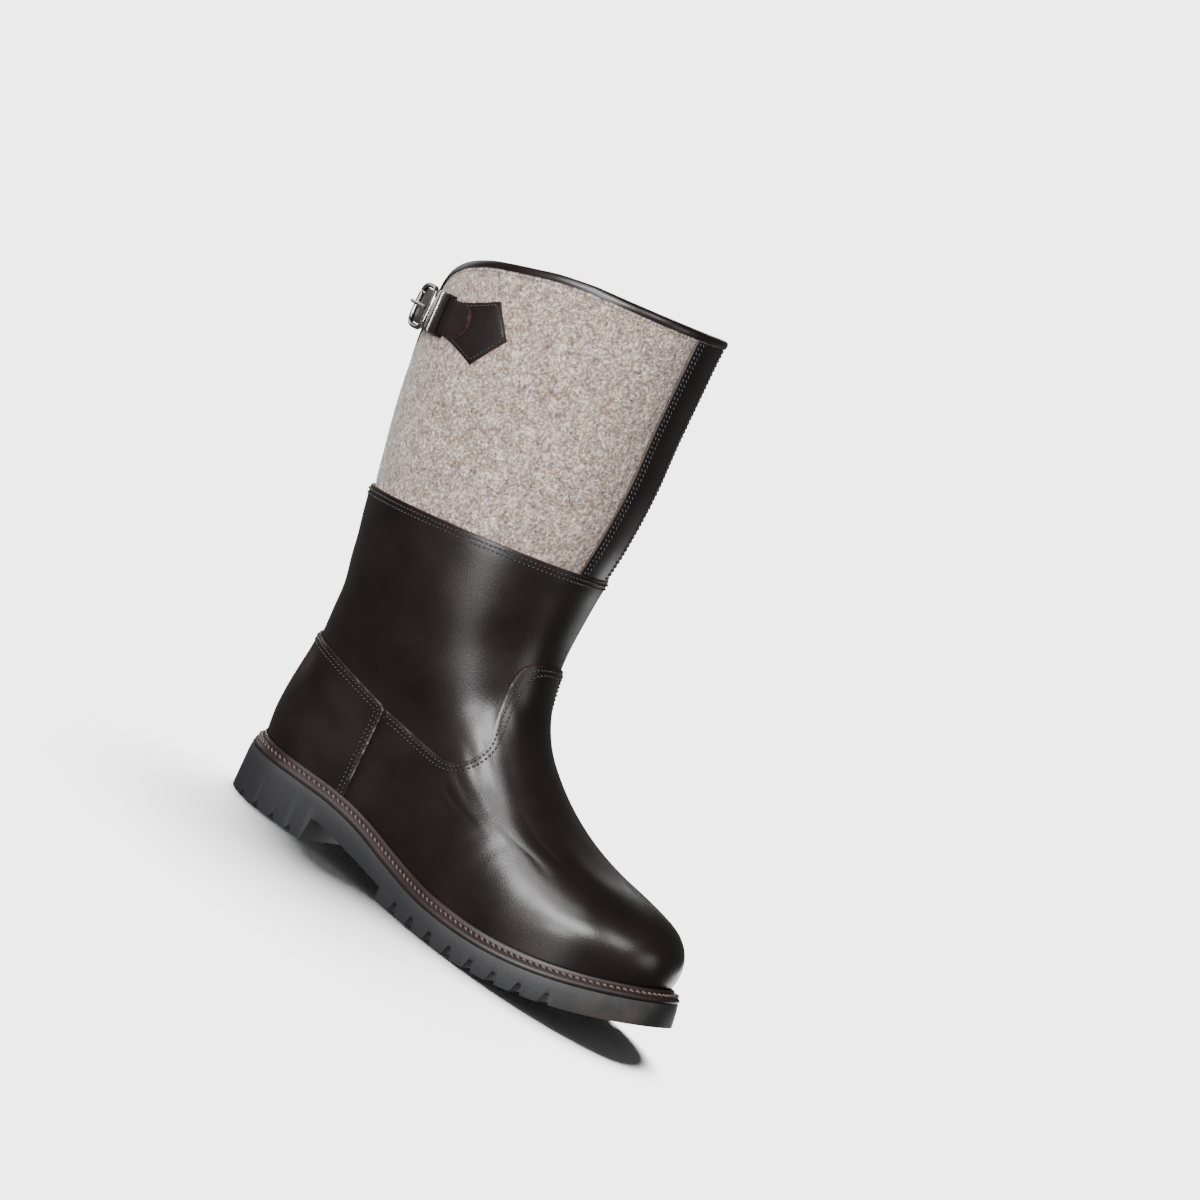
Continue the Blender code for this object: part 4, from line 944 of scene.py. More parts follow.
@dataclass
class Workshop:
    """What every sub-assembly works with: the last and the palette."""

    last: Last
    palette: Palette
    random: np.random.Generator

    def place(self, piece: Thing, slot: Slot, *nodes: str) -> Thing:
        """Attaches a piece to the root body and hides the solids that it stands for."""
        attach(piece, "root")
        if nodes:
            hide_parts(*nodes)
        return piece

    def add(self, name: str, points: Sequence, faces: Faces, material: Material, sharp: float, slot: Slot,
            *nodes: str) -> None:
        """Adds a piece of one material."""
        self.place(new_mesh(name, points, faces, (material,), sharp), slot, *nodes)

    def shell(self, name: str, patch: Patch, inner: float, outer: float, rolled: float, node: str) -> None:
        """A sheet of leather on the form, cut from a patch, with raw edges."""
        u, v = patch.uv[:, 0], patch.uv[:, 1]
        border = patch.border()
        edge = np.zeros(len(u))
        edge[list({k for pair in border for k in pair})] = rolled
        top = self.last.skin(u, v, outer - edge, CREASES)
        bottom = self.last.skin(u, v, inner, CREASES)
        count = len(u)
        faces = list(patch.faces) + [tuple(k + count for k in reversed(face)) for face in patch.faces]
        walls = [(b, a, a + count, b + count) for a, b in border]
        marks = [0] * len(faces) + [1] * len(walls)
        leathers = (self.palette.leather(BOOT_LEATHER), self.palette.leather(RAW_EDGE))
        self.place(new_mesh(name, (top, bottom), faces + walls, leathers, 42.0, marks), Slot.BOOT, node)

    def band(self, name: str, rings: Sequence[Sequence[Array]], finish: LeatherFinish, sharp: float, end: int,
             slot: Slot, *nodes: str) -> None:
        """A flat leather band with raw sides, from rings of an outer and an inner row; end marks its ends."""
        count = len(rings[0])
        sides = (count // 2 - 1, count - 1)
        faces = ring_faces(len(rings), count)
        marks = [int(k % count in sides) for k in range(len(faces))]
        caps = flat_caps((0, (len(rings) - 1) * count), count)
        leathers = (self.palette.leather(finish), self.palette.leather(RAW_EDGE))
        marks += [end] * len(caps)
        self.place(new_mesh(name, rings, faces + caps, leathers, sharp, marks), slot, *nodes)

    def sew(self, name: str, lines: Sequence[tuple[Array, Array]], seam: Seam, slot: Slot) -> None:
        """Adds rows of single stitches.

        Args:
            name: name of the piece.
            lines: for each row, its points and the outward directions at them.
            seam: kind of stitching.
            slot: not used.
        """
        points, faces = [], []
        profile = ((-0.5, 0.35, -0.7), (-0.36, 0.90, 0.25), (0.0, 1.0, 0.60), (0.36, 0.90, 0.25),
                   (0.5, 0.35, -0.7))
        for line, outward in lines:
            both = resample(np.concatenate([line, outward], axis=1), seam.pitch)
            spots, outs = both[:, :3], both[:, 3:]
            for k in range(len(spots) - 1):
                along = spots[k + 1] - spots[k]
                size = float(np.linalg.norm(along))
                along = along / size
                out = outs[k] + outs[k + 1]
                out = unit(out - along * float(out @ along))
                across = np.cross(along, out)
                centre, start = 0.5 * (spots[k] + spots[k + 1]), len(points)
                for reach, thick, lift in profile:
                    middle = (centre + along * reach * seam.fill * size + out * lift * seam.radius
                              + across * seam.twist * reach * 2.0)
                    points += [middle + seam.radius * thick * (math.cos(a) * across + math.sin(a) * out)
                               for a in (turn * math.pi / 3.0 for turn in range(6))]
                faces += [tuple(start + i for i in face) for face in ring_faces(len(profile), 6)]
                faces.append(tuple(start + i for i in range(5, -1, -1)))
                faces.append(tuple(start + 6 * (len(profile) - 1) + i for i in range(6)))
        self.add(name, points, faces, self.palette.plain(seam.thread), 80.0, slot)

    def fuzz(self, name: str, roots: Array, outs: Array, finish: WoolFinish, slot: Slot,
             length: tuple[float, float], width: float, lift: tuple[float, float]) -> None:
        """Adds loose fibres on a surface: thin bent ribbons that mostly lie down.

        Args:
            name: name of the piece.
            roots: where the fibres start.
            outs: outward directions there.
            finish: wool whose tones they take.
            slot: not used.
            length: shortest and longest fibre.
            width: width of a fibre at its root.
            lift: least and greatest share of the outward direction in a fibre's lie.
        """
        count, rng = len(roots), self.random
        aside = rng.normal(size=(count, 3))
        aside -= (aside * outs).sum(1, keepdims=True) * outs
        aside = unit(aside)
        rise = rng.uniform(*lift, size=(count, 1))
        lie = aside * np.sqrt(1.0 - rise ** 2) + outs * rise
        size = rng.uniform(*length, size=(count, 1))
        cross = unit(np.cross(lie, outs))
        bend = rng.normal(scale=0.30, size=(count, 1))
        middle = roots + lie * size * 0.5 + outs * size * 0.05
        tip = roots + lie * size + cross * bend * size - outs * size * rng.uniform(0.0, 0.22, size=(count, 1))
        side = 0.5 * width * cross
        points = np.stack([roots - side, roots + side, middle - side * 0.9, middle + side * 0.9,
                           tip - side * 0.25, tip + side * 0.25], axis=1)
        base = 6 * np.arange(count)[:, None]
        faces = np.concatenate([base + np.array([[0, 1, 3, 2]]), base + np.array([[2, 3, 5, 4]])])
        mesh = bpy.data.meshes.new(name)
        moved = points.reshape(-1, 3) - np.array([HEEL_CENTRE, 0.0, 0.0])
        mesh.from_pydata(moved.tolist(), [], faces.tolist())
        tone = mesh.attributes.new("tone", "FLOAT", "POINT")
        tones = np.clip(rng.normal(0.50, 0.30, size=count), 0.0, 1.0)
        tone.data.foreach_set("value", np.repeat(tones, 6).astype(np.float32))
        mesh.materials.append(self.palette.fibres(finish))
        mesh.shade_smooth()
        self.place(add_object(name, mesh), slot)


@dataclass
class Sole:
    """Outsole, welt with its stitches, and insole."""

    shop: Workshop
    stations: int = 96
    thread_reach: float = 0.69
    thread_rise: float = 0.0042
    thread_lean: tuple[float, float] = (0.66, 0.75)

    def build(self) -> None:
        """Builds the pieces under the foot."""
        self.outsole()
        self.welt()
        self.insole()

    def _ring(self, inset: Callable[[float], float], height: Callable[[float], float]) -> list[tuple]:
        """Ring of points round the outsole's edge."""
        ring = []
        for k in range(2 * self.stations):
            turn = math.pi + math.pi * k / self.stations
            x, y = outline_point(turn, inset(0.5 * (1.0 + math.cos(turn))))
            ring.append((x, y, float(height(x))))
        return ring

    def _prism(self, outline: Sequence[tuple[float, float]]) -> Thing:
        """Cutter that runs across the sole."""
        count = len(outline)
        points = [(x, y, z) for y in (-BALL_WIDTH, BALL_WIDTH) for x, z in outline]
        caps = [tuple(range(count)), tuple(range(2 * count - 1, count - 1, -1))]
        return new_mesh("cutter", points, caps + ring_faces(2, count), ())

    @staticmethod
    def _groove(x: float, width: float, depth: float, mouth: float) -> list[tuple[float, float]]:
        """Side view of one tread groove."""
        floor = float(floor_line(x))
        slope = float(floor_line(x + 0.001) - floor_line(x - 0.001)) / 0.002
        root, reach = 0.5 * width, 0.5 * mouth
        return [(x + u, floor + v + slope * u) for u, v in
                ((-reach - 0.0008, -0.003), (-reach, 0.0), (-root, depth), (root, depth),
                 (reach, 0.0), (reach + 0.0008, -0.003))]

    def _lane(self, side: float, inset: float, drop: tuple[float, float]) -> Thing:
        """Cutter for the channel between the side lugs and the middle blocks."""
        start, end = TREAD_START - 0.004, LANE_END * LENGTH
        lanes = []
        for reach in (inset, inset + 0.0045):
            lane = []
            for x in np.linspace(start, end, 25):
                swing, half = outline_shape(x)
                tip = end_round(LENGTH - reach - x, 0.290 * LENGTH, 2.3)
                lane.append((float(x), float(swing + side * (half - reach) * tip), float(floor_line(x))))
            lanes.append(lane)
        ring = lanes[0] + lanes[1][::-1]
        count = len(ring)
        points = [(x, y, z + d) for d in drop for x, y, z in ring]
        return new_mesh("cutter", points, ring_faces(2, count) + flat_caps((0, count), count), ())

    def outsole(self) -> None:
        """Moulded rubber unit with lugs, a heel block and an arch."""
        rings = (self._ring(bumper, sole_top),
                 self._ring(lambda s: 0.6 * bumper(s), lambda x: float(sole_top(x)) - 0.35 * FOREPART),
                 self._ring(lambda s: 0.0015 * (1.0 - s), floor_line))
        count = len(rings[0])
        faces = ring_faces(3, count) + round_caps((0, 2 * count), count)
        sole = new_mesh("outsole_rubber", rings, faces, (self.shop.palette.rubber(RUBBER),))
        front = TREAD_START
        shank = ((HEEL_LENGTH, -0.01), (HEEL_LENGTH + 0.001, SHANK_CLEARANCE),
                 (HEEL_LENGTH + 0.006, SHANK_CLEARANCE + 0.0006),
                 (HEEL_LENGTH + 0.40 * (front - HEEL_LENGTH), 0.86 * SHANK_CLEARANCE),
                 (front, LUG_DEPTH + 0.0010), (front + 0.0022, -0.01))
        cutters = [self._prism(shank)]
        first, last = front + 0.0022 + LUG_PITCH - 0.5 * LUG_GAP, TREAD_END * LENGTH
        for k in range(int((last - first) / LUG_PITCH) + 1):
            groove = self._groove(first + k * LUG_PITCH, 0.6 * LUG_GAP, LUG_DEPTH, 1.55 * LUG_GAP)
            cutters.append(self._prism(groove))
        for k in (-1.5, -0.5, 0.5, 1.5):
            cutters.append(self._prism(self._groove(HEEL_CENTRE + k * HEEL_PITCH, *HEEL_NOTCH)))
        cutters += [self._lane(side, LANE_INSET, (-0.004, LUG_DEPTH)) for side in (1.0, -1.0)]
        for cutter in cutters:
            cut = sole.modifiers.new("cut", "BOOLEAN")
            cut.object, cut.operation, cut.solver = cutter, "DIFFERENCE", "EXACT"
        round_off = sole.modifiers.new("round", "BEVEL")
        round_off.width, round_off.segments, round_off.angle_limit = 0.00045, 2, math.radians(38.0)
        deselect()
        bpy.context.view_layer.objects.active = sole
        for modifier in list(sole.modifiers):
            bpy.ops.object.modifier_apply(modifier=modifier.name)
        for cutter in cutters:
            bpy.data.objects.remove(cutter, do_unlink=True)
        sole.data.shade_smooth()
        sole.data.set_sharp_from_angle(angle=math.radians(32.0))
        self.shop.place(sole, Slot.RUBBER, "outsole")

    def welt(self) -> None:
        """Storm welt with a round bead, a groove and a stitched band."""
        last, outer = self.shop.last, LEATHER + OVERLAY + 3.0 * GAP
        section = ((0.00, 0.0), (1.00, 0.0), (1.035, 0.0005), (1.035, 0.0016), (1.00, 0.0021), (0.90, 0.0028),
                   (0.70, 0.0040), (0.50, 0.0050), (0.43, 0.0050), (0.395, 0.0043), (0.365, 0.0044),
                   (0.345, 0.0054), (0.28, 0.0066), (0.18, 0.0072), (0.08, 0.0073), (0.0, 0.0066))
        rings, seats, outs = [], [], []
        for c in range(COLUMNS):
            low, above = last.spot(c, 0.0, outer), last.spot(c, STEPS, outer)
            lean = (above - low) / (above[2] - low[2])
            turn = float(last.turns[c])
            edge = np.array(outline_point(turn, bumper(0.5 * (1.0 + math.cos(turn))) + 0.0004) + (0.0,))
            base = np.array([low[0], low[1], 0.0])
            ring = []
            for reach, rise in section:
                spot = base + reach * (edge - base) + max(0.0, 1.0 - reach) * rise * lean
                ring.append((spot[0], spot[1], float(sole_top(spot[0])) + GAP + rise))
            rings.append(ring)
            seat = base + self.thread_reach * (edge - base)
            seats.append((seat[0], seat[1], float(sole_top(seat[0])) + GAP + self.thread_rise))
            outs.append(self.thread_lean[0] * unit(edge - base) + np.array([0.0, 0.0, self.thread_lean[1]]))
        faces = ring_faces(COLUMNS, len(section), True)
        leather = self.shop.palette.leather(WELT_LEATHER)
        self.shop.add("storm_welt", rings, faces, leather, 60.0, Slot.WELT, "welt")
        line = np.array(seats + seats[:1]), np.array(outs + outs[:1])
        self.shop.sew("welt_stitches", [line], WELT_SEAM, Slot.WELT)

    def insole(self) -> None:
        """Felt insole with a rounded edge and a slight heel seat."""
        last = self.shop.last
        rings = []
        for inset, rise in ((0.0, 0.0), (0.0, 0.0028), (0.0008, 0.0035), (0.006, 0.0033), (0.014, 0.0030)):
            ring = last.skin(np.arange(COLUMNS), np.zeros(COLUMNS), -GAP - inset)
            ring[:, 2] += rise
            rings.append(ring)
        faces = ring_faces(len(rings), COLUMNS) + round_caps((0, (len(rings) - 1) * COLUMNS), COLUMNS)
        wool = self.shop.palette.wool(INSOLE_WOOL)
        self.shop.add("insole_pad", rings, faces, wool, 50.0, Slot.INSOLE, "insole")


@dataclass
class FootLeather:
    """Lower shaft and foot, vamp, counter, back seam and their stitches."""

    shop: Workshop
    surface: float = LEATHER + GAP
    cover: float = LEATHER + OVERLAY + 2.0 * GAP

    def build(self) -> None:
        """Builds the leather below the felt."""
        last = self.shop.last
        rows = np.repeat(np.arange(last.rows, dtype=float)[:, None], COLUMNS, axis=1)
        upper = Patch(STEPS * LEATHER_TOP + 1e-6 - rows)
        self.shop.shell("lower_shaft_and_foot", upper, GAP, self.surface, 0.0004, "upper")
        self._seam_rows()
        self._overlays()
        self._back_seam()

    def _line(self, places: Array, offset: float) -> tuple[Array, Array]:
        """Points and directions along places of the grid."""
        last = self.shop.last
        return last.skin(places[:, 0], places[:, 1], offset, CREASES), last.normal(places[:, 0], places[:, 1])

    def _seam_rows(self) -> None:
        """Two rows of stitches below the felt."""
        last, top = self.shop.last, float(STEPS * LEATHER_TOP)
        lines = []
        for drop in ROW_DROPS:
            places = np.array([(c, last.row_from(c, top, -drop)) for c in range(COLUMNS + 1)], float)
            lines.append(self._line(places, self.surface))
        self.shop.sew("felt_seam_stitches", lines, BOOT_SEAM, Slot.BOOT)

    def _overlays(self) -> None:
        """Vamp and counter with their double rows."""
        last = self.shop.last
        points = last.skin(*np.meshgrid(np.arange(COLUMNS), np.arange(last.rows)), self.cover)
        outlines = {
            "vamp": Outline.from_tables(SEAM_FOOT, VAMP_EDGE, 1.10),
            "counter": Outline.from_tables(COUNTER_FOOT, COUNTER_EDGE, -0.10),
        }
        for name, outline in outlines.items():
            field = outline.field(points)
            self.shop.shell(name + "_leather", Patch(field), self.surface + GAP, self.cover, 0.00035, name)
            rows = [line for inset in ROW_INSETS for line in Patch(field - inset).cut_lines()]
            lines = []
            for places in rows:
                line, outs = self._line(places, self.cover)
                keep = line[:, 2] > sole_top(line[:, 0]) + 0.0065
                if name == "vamp":
                    front = line[:, 0] > SEAM_FOOT[0][0] * LENGTH + 0.006
                    keep &= front | (line[:, 2] > rise_at(0.5, 0.195))
                if keep.sum() > 3:
                    first, final = np.flatnonzero(keep)[[0, -1]]
                    lines.append((line[first:final + 1], outs[first:final + 1]))
            self.shop.sew(name + "_stitches", lines, BOOT_SEAM, Slot.BOOT)

    def _back_seam(self) -> None:
        """Raised seam down the back above the counter."""
        last, middle = self.shop.last, COLUMNS // 2
        low = last.row_at(middle, rise_at(0.5, COUNTER_EDGE[-1][1]) + OVERLAY)
        rows = np.linspace(low, STEPS * LEATHER_TOP - 0.2, 60)
        centre = last.skin(np.full(60, middle), rows, self.surface, CREASES)
        outs = last.normal(np.full(60, middle), rows)
        profile = 0.0014 * np.array([(-1.0, -0.15), (-0.8, 0.55), (-0.3, 0.95), (0.3, 0.95), (0.8, 0.55),
                                     (1.0, -0.15)])
        rings = [[point + np.array([0.0, a, 0.0]) + out * (b * 0.0011 / 0.0014) for a, b in profile]
                 for point, out in zip(centre, outs)]
        faces = ring_faces(60, 6) + [tuple(range(6)), tuple(354 + k for k in range(6))]
        leather = self.shop.palette.leather(BOOT_LEATHER)
        self.shop.add("back_seam_bead", rings, faces, leather, 40.0, Slot.BOOT, "back_seam")


@dataclass
class Shaft:
    """Felt shaft with its fibres and lining, the front strip and the collar's binding."""

    shop: Workshop
    fibres: int = 42000
    fleece: int = 15000
    overlap: float = 0.010
    lining_drop: float = 0.0045
    strip_drop: float = 0.0039
    collar_row: float = 0.0052

    def build(self) -> None:
        """Builds the shaft above the leather."""
        last = self.shop.last
        self.collar = np.array([last.row_at(c, last.collar_height(c)) for c in range(COLUMNS)])
        self._felt()
        self._lining()
        self._strip()
        self._binding()

    @staticmethod
    def _rows(low: Array, high: Array, count: int) -> Array:
        """Rows of the grid in even steps between two edges, one column each."""
        share = np.linspace(0.0, 1.0, count)[:, None]
        return low[None, :] + (high - low)[None, :] * share

    @staticmethod
    def _at(ring: Array, columns: Array) -> Array:
        """Values of a ring between the grid's columns."""
        return np.interp(columns, np.arange(COLUMNS + 1), np.append(ring, ring[0]))

    def _tube(self, name: str, rows: Array, inner: Array | float, outer: Array | float, finish: WoolFinish,
              slot: Slot, *nodes: str) -> None:
        """A closed wall between two offsets over rows of the grid."""
        last, columns = self.shop.last, np.repeat(np.arange(COLUMNS)[None, :], len(rows), axis=0)
        outside = last.skin(columns, rows, np.broadcast_to(outer, rows.shape))
        inside = last.skin(columns, rows, np.broadcast_to(inner, rows.shape))[::-1]
        rings = np.concatenate([outside, inside])
        faces = ring_faces(len(rings), COLUMNS, True)
        self.shop.add(name, rings, faces, self.shop.palette.wool(finish), 60.0, slot, *nodes)

    def _felt(self) -> None:
        """The felt wall and the fibres that stand out of it."""
        last, rng = self.shop.last, self.shop.random
        seam = float(STEPS * LEATHER_TOP)
        low = np.array([last.row_from(c, seam, -self.overlap) for c in range(COLUMNS)])
        rows = self._rows(low, self.collar, 64)
        lumps = rng.normal(scale=0.00009, size=rows.shape)
        lumps = 0.5 * lumps + 0.25 * (np.roll(lumps, 1, axis=1) + np.roll(lumps, -1, axis=1))
        outer = np.where(rows < seam + 1.0, -GAP, lumps)
        self._tube("felt_shaft_wool", rows, -FELT, outer, GREY_FELT, Slot.FELT, "felt_shaft")
        u = rng.uniform(0.0, COLUMNS, self.fibres)
        high = self._at(self.collar, u)
        v = seam + 0.3 + (high - seam - 1.0) * rng.uniform(0.0, 1.0, self.fibres)
        self.shop.fuzz("felt_fibres", last.skin(u, v, 0.00002), last.normal(u, v), GREY_FELT, Slot.FELT,
                       (0.0009, 0.0026), 0.00012, (0.02, 0.30))

    def _lining(self) -> None:
        """Fleece on the inside of the felt, down to the ankle."""
        last, rng = self.shop.last, self.shop.random
        high = np.array([last.row_from(c, self.collar[c], -self.lining_drop) for c in range(COLUMNS)])
        rows = self._rows(np.full(COLUMNS, 5.0 * STEPS), high, 56)
        depth = -FELT - 0.0016 + rng.normal(scale=0.00035, size=rows.shape)
        self._tube("fleece_lining", rows, depth, -FELT - 0.0002, FLEECE, Slot.INSOLE)
        u = rng.uniform(0.0, COLUMNS, self.fleece)
        top = self._at(high, u)
        v = top - (top - 60.0) * rng.uniform(0.0, 1.0, self.fleece) ** 1.3
        roots, ins = last.skin(u, v, -FELT - 0.0014), -last.normal(u, v)
        self.shop.fuzz("fleece_fibres", roots, ins, FLEECE, Slot.INSOLE, (0.0018, 0.0042), 0.00022,
                       (0.30, 0.85))

    def _strip(self) -> None:
        """Leather strip down the front with two double rows of stitches."""
        last = self.shop.last
        rows = np.linspace(STEPS * LEATHER_TOP + 0.25, last.row_from(0, self.collar[0], -self.strip_drop), 60)
        half = 0.5 * STRIP_WIDTH
        across = half * np.array([-1.0, -0.985, -0.94, -0.75, -0.5, -0.25, 0.0, 0.25, 0.5, 0.75, 0.94,
                                  0.985, 1.0])
        lift = OVERLAY * np.array([0.62, 0.90] + [1.0] * 9 + [0.90, 0.62])

        def columns(row: float, offsets: Array) -> Array:
            ring = np.arange(-COLUMNS // 4, COLUMNS // 4 + 1)
            side = last.read(last.points, ring, np.full(len(ring), row))[:, 1]
            return np.interp(offsets, side, ring)

        rings = []
        for row in rows:
            place = columns(row, across)
            outside = last.skin(place, np.full(len(place), row), GAP + lift)
            inside = last.skin(place, np.full(len(place), row), GAP)
            rings.append(np.concatenate([outside, inside[::-1]]))
        self.shop.band("front_strip_leather", rings, BOOT_LEATHER, 50.0, 0, Slot.BOOT, "front_strip")
        lines = []
        for offset in [inset - half for inset in STRIP_ROWS] + [half - inset for inset in STRIP_ROWS[::-1]]:
            places = np.array([(columns(row, np.array([offset]))[0], row) for row in rows])
            lines.append((last.skin(places[:, 0], places[:, 1], GAP + OVERLAY),
                          last.normal(places[:, 0], places[:, 1])))
        self.shop.sew("strip_stitches", lines, BOOT_SEAM, Slot.BOOT)

    def _binding(self) -> None:
        """Rolled leather binding over the collar's edge and the row of stitches below it."""
        last, rng = self.shop.last, self.shop.random
        columns = np.arange(COLUMNS)
        middle = last.skin(columns, self.collar, -0.5 * FELT)
        outs = last.normal(columns, self.collar)
        half = 0.5 * FELT + 0.0008
        section = [(half + 0.0004, 0.0033), (half + 0.0007, 0.0020), (half + 0.0006, 0.0005)]
        section += [((half + 0.0003) * math.cos(a), -0.0002 - 0.0011 * math.sin(a))
                    for a in np.linspace(0.25, math.pi - 0.25, 9)]
        section += [(-half - 0.0006, 0.0005), (-half - 0.0008, 0.0022), (-half - 0.0005, 0.0036),
                    (-half, 0.0036), (-half, 0.0), (half, 0.0), (half, 0.0033)]
        rings = []
        wander = np.convolve(rng.normal(size=COLUMNS), np.ones(9) / 9.0, mode="same") * 0.0002
        for c in range(COLUMNS):
            down = np.cross(unit(middle[(c + 1) % COLUMNS] - middle[c - 1]), outs[c])
            down *= math.copysign(1.0, -down[2]) / np.linalg.norm(down)
            rings.append([middle[c] + n * outs[c] + (d + (wander[c] if d > 0.003 else 0.0)) * down
                          for n, d in section])
        faces = ring_faces(COLUMNS, len(section), True)
        self.shop.add("collar_binding_leather", rings, faces, self.shop.palette.leather(BOOT_LEATHER), 60.0,
                      Slot.BOOT, "collar_binding")
        ring = np.arange(COLUMNS + 1)
        rows = np.array([last.row_from(c, self.collar[c % COLUMNS], -self.collar_row) for c in ring])
        line = last.skin(ring, rows, 0.0001)
        self.shop.sew("collar_stitches", [(line, last.normal(ring, rows))], COLLAR_SEAM, Slot.FELT)


@dataclass
class StrapSet:
    """Strap round the back, the tab, the buckle, its keeper and the loop."""

    shop: Workshop

    def build(self) -> None:
        """Builds the strap and its fittings."""
        self._tab()
        self._strap()
        self._buckle()
        self._fold()
        metal, leather = self.shop.palette.plain(ENGRAVED), self.shop.palette.leather(STRAP_LEATHER)
        self._bracket("buckle_keeper_metal", KEEPER_PLACE, 0.0052, 0.0013, metal, Slot.METAL,
                      "buckle_keeper", 0.0006)
        self._bracket("strap_loop_leather", LOOP_PLACE, 0.0050, 0.0013, leather, Slot.STRAP,
                      "strap_loop", 0.0003)

    @staticmethod
    def _middle(degrees: float) -> float:
        """Height of the strap's middle line."""
        forward = 0.5 * (1.0 + math.cos(math.radians(degrees)))
        return rise_at(0.0, STRAP_RISE[0] + (STRAP_RISE[1] - STRAP_RISE[0]) * 2.0 * forward)

    @staticmethod
    def _tab_half(degrees: float) -> float:
        """Half height of the tab at an angle from the front, on either side."""
        degrees = 360.0 - degrees if degrees > 180.0 else degrees
        strap, tab = 0.5 * STRAP_WIDTH, 0.5 * TAB_WIDTH
        if degrees >= TAB_NECK:
            return strap
        if degrees >= TAB_SHOULDER:
            return strap + (tab - strap) * ((TAB_NECK - degrees) / (TAB_NECK - TAB_SHOULDER)) ** 1.6
        return max(tab * (degrees - TAB_POINT) / (TAB_SHOULDER - TAB_POINT), 0.0004)

    @staticmethod
    def _strap_inner(degrees: float) -> float:
        """Offset of the strap's inner face on the outer side, by its angle from the front."""
        stations = (94.0, 146.0, 157.0, 180.0, 205.0, 222.0, 266.0)
        over, binding = 2.0 * GAP + STRAP_THICKNESS, 0.0010 + 4.0 * GAP
        return float(np.interp(degrees, stations, (over, over, over - GAP, binding, binding, GAP, GAP)))

    def _point(self, degrees: float, share: float, half: float, offset: float) -> Array:
        """Point of the strap: its angle, its share of the half height and its offset."""
        last, column = self.shop.last, column_at(degrees)
        return last.spot(column, last.row_at(column, self._middle(degrees) + share * half), offset)

    def _ribbon(self, name: str, angles: Array, half: Callable[[float], float],
                inner: Callable[[float], float], *nodes: str) -> None:
        """A strap with rounded edges whose cut sides are raw."""
        shares = np.array([-1.0, -0.97, -0.88, -0.5, 0.0, 0.5, 0.88, 0.97, 1.0])
        lifts = np.array([0.72, 0.93, 1.0, 1.0, 1.02, 1.0, 1.0, 0.93, 0.72])
        rings = []
        for degrees in angles:
            reach, low = half(degrees), inner(degrees)
            outside = [self._point(degrees, s, reach, low + STRAP_THICKNESS * t)
                       for s, t in zip(shares, lifts)]
            inside = [self._point(degrees, s, reach, low) for s in shares[::-1]]
            rings.append(outside + inside)
        self.shop.band(name, rings, STRAP_LEATHER, 40.0, 1, Slot.STRAP, *nodes)

    def _normal(self, degrees: float) -> Array:
        """Outward direction under the strap's middle line."""
        column = column_at(degrees)
        return self.shop.last.normal([column], [self.shop.last.row_at(column, self._middle(degrees))])[0]

    def _edge_rows(self, name: str, angles: Array, inner: Callable[[float], float]) -> None:
        """Stitches inside both edges of a tab."""
        lines = []
        for side in (-1.0, 1.0):
            spots, outs = [], []
            for degrees in angles:
                reach = self._tab_half(degrees) - TAB_ROW
                if reach > 0.0005:
                    spots.append(self._point(degrees, side, reach, inner(degrees) + STRAP_THICKNESS))
                    outs.append(self._normal(degrees))
            lines.append((np.array(spots), np.array(outs)))
        self.shop.sew(name, lines, TAB_SEAM, Slot.STRAP)

    def _tab(self) -> None:
        """House-shaped tab on the outer side, bare inside its stitches."""
        angles = 360.0 - np.concatenate([np.linspace(TAB_END, TAB_SHOULDER, 40)[:-1],
                                         np.linspace(TAB_SHOULDER, TAB_POINT, 14)])
        self._ribbon("buckle_tab_leather", angles, self._tab_half, lambda d: GAP, "buckle_tab")
        row = 360.0 - np.linspace(TAB_NECK + 1.0, TAB_POINT + 1.6, 60)
        self._edge_rows("tab_stitches", row, lambda d: GAP)

    def _strap(self) -> None:
        """Strap in one piece with the inner tab."""
        tip = 360.0 - STRAP_TIP
        angles = np.concatenate([np.linspace(TAB_POINT, TAB_SHOULDER, 12)[:-1],
                                 np.linspace(TAB_SHOULDER, tip - TIP_ROUND, 84)[:-1],
                                 tip - TIP_ROUND * np.linspace(1.0, 0.0, 14) ** 1.6])

        def half(degrees: float) -> float:
            if degrees <= 180.0:
                return self._tab_half(degrees)
            left = (tip - degrees) / TIP_ROUND
            if left >= 1.0:
                return 0.5 * STRAP_WIDTH
            return 0.5 * STRAP_WIDTH * max(0.10, math.sqrt(max(0.0, 1.0 - (1.0 - left) ** 2.0)))

        def inner(degrees: float) -> float:
            return self._strap_inner(360.0 - degrees)

        self._ribbon("strap_band", angles, half, inner, "strap")
        row = np.linspace(TAB_POINT + 1.6, TAB_NECK + 1.0, 60)
        self._edge_rows("inner_tab_stitches", row, inner)

    def _site(self, degrees: float, offset: float) -> tuple[Vector, Vector, Vector, Vector]:
        """Centre and directions of a fitting: along to the front, up and out."""
        angle = 360.0 - degrees
        centre = Vector(self._point(angle, 0.0, 0.0, offset))
        ahead, behind = (self._point(angle + step, 0.0, 0.0, offset) for step in (2.0, -2.0))
        along = Vector(ahead - behind)
        along.normalize()
        normal = Vector(self._normal(angle))
        up = normal.cross(along).normalized()
        up = -up if up.z < 0.0 else up
        out = along.cross(up).normalized()
        return centre, along, up, (-out if out.dot(normal) < 0.0 else out)

